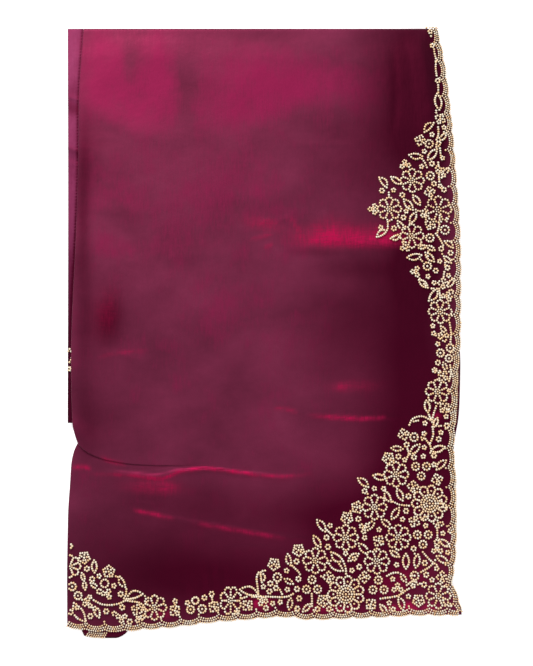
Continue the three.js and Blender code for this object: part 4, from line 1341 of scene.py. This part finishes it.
WINE_LIGHT = rgb(118, 46, 73)
WINE_DARK = rgb(86, 34, 54)
# The weave's darkest grain, and the colour of the painted shade
WINE_GRAIN_AND_SHADE = rgb(36, 3, 15)
# Painted highlight colour of the wine satin's shine
WINE_SHINE = rgb(134, 30, 71)
# Painted highlight colour of the mauve strip's shine
MAUVE_SHINE = rgb(150, 66, 106)
# Painted crimson sheen colour
CRIMSON_SHEEN = rgb(174, 20, 70)
MAUVE = rgb(122, 52, 86)
MAUVE_DARK = rgb(92, 30, 58)
HIGHLIGHT = rgb(255, 24, 118)
INNER_LIGHT = rgb(86, 20, 42)
INNER_DARK = rgb(62, 10, 28)
GOLD_WARM = rgb(252, 204, 142)
GOLD_PALE = rgb(255, 250, 232)
GOLD_DULL = rgb(220, 176, 124)
# Painted shade at each bead's foot
GOLD_FOOT_SHADE = rgb(172, 108, 62)


def satin(name, light, dark, shine_colour=None, roughness=0.42):
    """Silk satin: mottled, streaked along the cloth, with a fine weave. Given a shine colour, its
    marks add painted highlight, painted crimson sheen and painted shade to its colour.
    """
    material, tree, shader = new_material(name)
    shader.inputs["Specular IOR Level"].default_value = 0.5
    shader.inputs["Specular Tint"].default_value = HIGHLIGHT
    shader.inputs["Sheen Weight"].default_value = 0.04
    shader.inputs["Sheen Roughness"].default_value = 0.5
    shader.inputs["Sheen Tint"].default_value = rgb(255, 90, 150)
    mottle = noise(tree, (9.0, 13.0, 9.0), 4.0, 0.55)
    cloud = noise(tree, (34.0, 26.0, 30.0), 5.0, 0.62)
    streak = noise(tree, (430.0, 55.0, 60.0), 3.0, 0.6)
    sheen_streak = noise(tree, (60.0, 420.0, 60.0), 4.0, 0.65)
    grain = noise(tree, (1300.0, 1300.0, 900.0), 2.0, 0.6)
    warp = noise(tree, (3600.0, 160.0, 200.0), 1.0, 0.5)
    weft = noise(tree, (140.0, 3000.0, 200.0), 1.0, 0.5)
    colour = mixed(tree, scaled(tree, mottle, (0.3, 0.7), (0.0, 1.0)), dark, light)
    colour = mixed(tree, scaled(tree, cloud, (0.35, 0.7), (0.0, 0.35)), colour, dark)
    if shine_colour:
        # Painted highlight: the shine marks, with ragged edges and streaks, mixed in the shine colour
        ragged = scaled(tree, cloud, (0.25, 0.75), (-0.3, 0.3))
        shine_streaks = scaled(tree, streak, (0.3, 0.7), (-0.12, 0.12))
        shine = added(tree, added(tree, number_of(tree, "shine"), ragged), shine_streaks)
        colour = mixed(tree, scaled(tree, shine, (0.05, 0.95), (0, 1)), colour, shine_colour)
        # Painted shade from the dark marks
        deep = scaled(tree, number_of(tree, "deep"), (0, 1), (0, 0.95))
        colour = mixed(tree, deep, colour, WINE_GRAIN_AND_SHADE)
        # Painted crimson sheen, broken up by streaks and clouds
        torn = multiplied(
            tree, scaled(tree, sheen_streak, (0.32, 0.66), (0.6, 1.2)),
            scaled(tree, streak, (0.3, 0.7), (0.6, 1.3)))
        torn = multiplied(tree, torn, scaled(tree, cloud, (0.3, 0.65), (0.6, 1.25)))
        crimson_sheen = multiplied(tree, number_of(tree, "crimson_sheen"), torn)
        colour = mixed(tree, scaled(tree, crimson_sheen, (0, 1), (0, 1)), colour, CRIMSON_SHEEN)
    fine = mixed(tree, scaled(tree, grain, (0.3, 0.7), (0.0, 0.22)), colour, WINE_GRAIN_AND_SHADE)
    tree.links.new(fine, shader.inputs["Base Color"])
    rough = scaled(tree, streak, (0.3, 0.7), (roughness - 0.05, roughness + 0.07))
    tree.links.new(rough, shader.inputs["Roughness"])
    bumped(
        tree, shader, (mottle, 0.004, 0.25), (cloud, 0.0012, 0.3), (streak, 0.00012, 0.3),
        (warp, 0.00005, 0.35), (weft, 0.00005, 0.3))
    return material


def gold():
    """Light gold beads, each lighter, darker or duller than the next, with painted shade towards the
    foot of each.
    """
    material, tree, shader = new_material("gold_beads")
    tone = number_of(tree, "tone")
    colour = mixed(tree, scaled(tree, tone, (0, 1), (0, 1)), GOLD_WARM, GOLD_PALE)
    tarnish = noise(tree, (260.0, 260.0, 260.0), 3.0, 0.6)
    colour = mixed(tree, scaled(tree, tarnish, (0.5, 0.75), (0.0, 0.3)), colour, GOLD_DULL)
    # Painted shade: each bead darkens from its crown down to its waist and underside
    crown = scaled(tree, number_of(tree, "crown"), (0.0, 0.6), (0.0, 1.0))
    colour = mixed(tree, crown, GOLD_FOOT_SHADE, colour)
    tree.links.new(colour, shader.inputs["Base Color"])
    tree.links.new(scaled(tree, tone, (0, 1), (0.22, 0.36)), shader.inputs["Roughness"])
    shader.inputs["Metallic"].default_value = 0.05
    shader.inputs["Specular IOR Level"].default_value = 0.9
    shader.inputs["Specular Tint"].default_value = rgb(255, 222, 170)
    shader.inputs["Coat Weight"].default_value = 0.35
    shader.inputs["Coat Roughness"].default_value = 0.15
    bumped(tree, shader, (noise(tree, (900.0, 900.0, 900.0), 2.0), 0.0001, 0.3))
    return material


def floor_material():
    material, tree, shader = new_material("pale_floor")
    shade = scaled(tree, noise(tree, (3.0, 3.0, 3.0)), (0.3, 0.7), (0.0, 1.0))
    colour = mixed(tree, shade, rgb(250, 250, 250), rgb(253, 253, 253))
    tree.links.new(colour, shader.inputs["Base Color"])
    shader.inputs["Roughness"].default_value = 0.9
    shader.inputs["Specular IOR Level"].default_value = 0.1
    shader.inputs["Emission Color"].default_value = (1, 1, 1, 1)
    shader.inputs["Emission Strength"].default_value = 0.6
    return material


# Floor, lights and camera, in metres
FLOOR_HALF = 4.0
FLOOR_GAP = 0.0003  # under the cloth
WORLD_STRENGTH = 0.36
CLOTH_LEVEL = 0.0125  # the plane of the working coordinates


def add_floor():
    half = FLOOR_HALF
    mesh = bpy.data.meshes.new("floor")
    corners = [(-half, -half, 0), (half, -half, 0), (half, half, 0), (-half, half, 0)]
    mesh.from_pydata(corners, [], [(0, 1, 2, 3)])
    mesh.materials.append(floor_material())
    floor = bpy.data.objects.new("floor", mesh)
    floor.location.z = -FLOOR_GAP
    bpy.context.scene.collection.objects.link(floor)


def area_light(name, place, target, size, watts):
    data = bpy.data.lights.new(name, "AREA")
    data.shape = "RECTANGLE"
    data.size, data.size_y = size
    data.energy = watts
    light = bpy.data.objects.new(name, data)
    light.location = place
    way = np.subtract(target, place)
    light.rotation_euler = (
        math.atan2(math.hypot(way[0], way[1]), -way[2]), 0, math.atan2(way[0], -way[1]) + math.pi)
    bpy.context.scene.collection.objects.link(light)


def add_lights():
    world = bpy.data.worlds.new("soft_white")
    world.use_nodes = True
    world.node_tree.nodes["Background"].inputs["Color"].default_value = (1, 1, 1, 1)
    world.node_tree.nodes["Background"].inputs["Strength"].default_value = WORLD_STRENGTH
    bpy.context.scene.world = world
    area_light("window", (-0.9, 2.1, 1.9), (-0.1, 0.1, 0.0), (1.5, 1.1), 85)
    area_light("fill", (0.6, -0.9, 1.6), (0.0, -0.1, 0.0), (1.4, 1.4), 9)


def add_camera():
    data = bpy.data.cameras.new("camera")
    data.lens = 50
    data.sensor_width = 36
    camera = bpy.data.objects.new("camera", data)
    above = CLOTH_LEVEL + DISTANCE * MM * math.cos(TILT)
    camera.location = (SHIFT[0] * MM, SHIFT[1] * MM - DISTANCE * MM * math.sin(TILT), above)
    camera.rotation_euler = (TILT, 0, 0)
    bpy.context.scene.collection.objects.link(camera)
    bpy.context.scene.camera = camera
    bpy.context.scene.view_settings.view_transform = "Standard"


# Everything, and what each piece stands for
def build():
    wine = satin("wine_satin", WINE_LIGHT, WINE_DARK, WINE_SHINE)
    inner = satin("inner_satin", INNER_LIGHT, INNER_DARK, roughness=0.5)
    mauve = satin("mauve_satin", MAUVE, MAUVE_DARK, MAUVE_SHINE, roughness=0.46)
    beads = gold()
    front = front_cloth(wine)
    back = back_cloth(inner)
    left = left_cloth(mauve)
    layers = layers_cloth(inner)

    stitched = [beads_object(f"beads_{name}", stitched_beads(name), front_ground, beads)
                for name in FIELDS]
    edge_right = beads_object("beads_edge_right", edge_beads(RIGHT_EDGE), front_ground, beads)
    edge_bottom = beads_object("beads_edge_bottom", edge_beads(END_EDGE), front_ground, beads)
    down, across = back_edges()
    edge_back_right = beads_object("beads_back_right", down, back_ground, beads)
    edge_back_bottom = beads_object("beads_back_bottom", across, back_ground, beads)
    strip = beads_object("beads_strip", strip_beads(), strip_ground, beads)

    pieces = (
        (front, "wine_satin", ("front_upper", "front_lower")), (back, "inner_satin", ("back_half",)),
        (left, "mauve_satin", ("under_left",)), (layers, "inner_satin", ("folded_layers",)),
        (edge_right, "gold_beads", ("edging_right",)), (edge_bottom, "gold_beads", ("edging_bottom",)),
        (edge_back_right, "gold_beads", ("edging_back_right",)),
        (edge_back_bottom, "gold_beads", ("edging_back_bottom",)), (strip, "gold_beads", ()),
        *((piece, "gold_beads", ()) for piece in stitched),
    )
    for piece, slot, nodes in pieces:
        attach(piece, "root")
        if nodes:
            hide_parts(*nodes)


build()
add_floor()
add_lights()
add_camera()
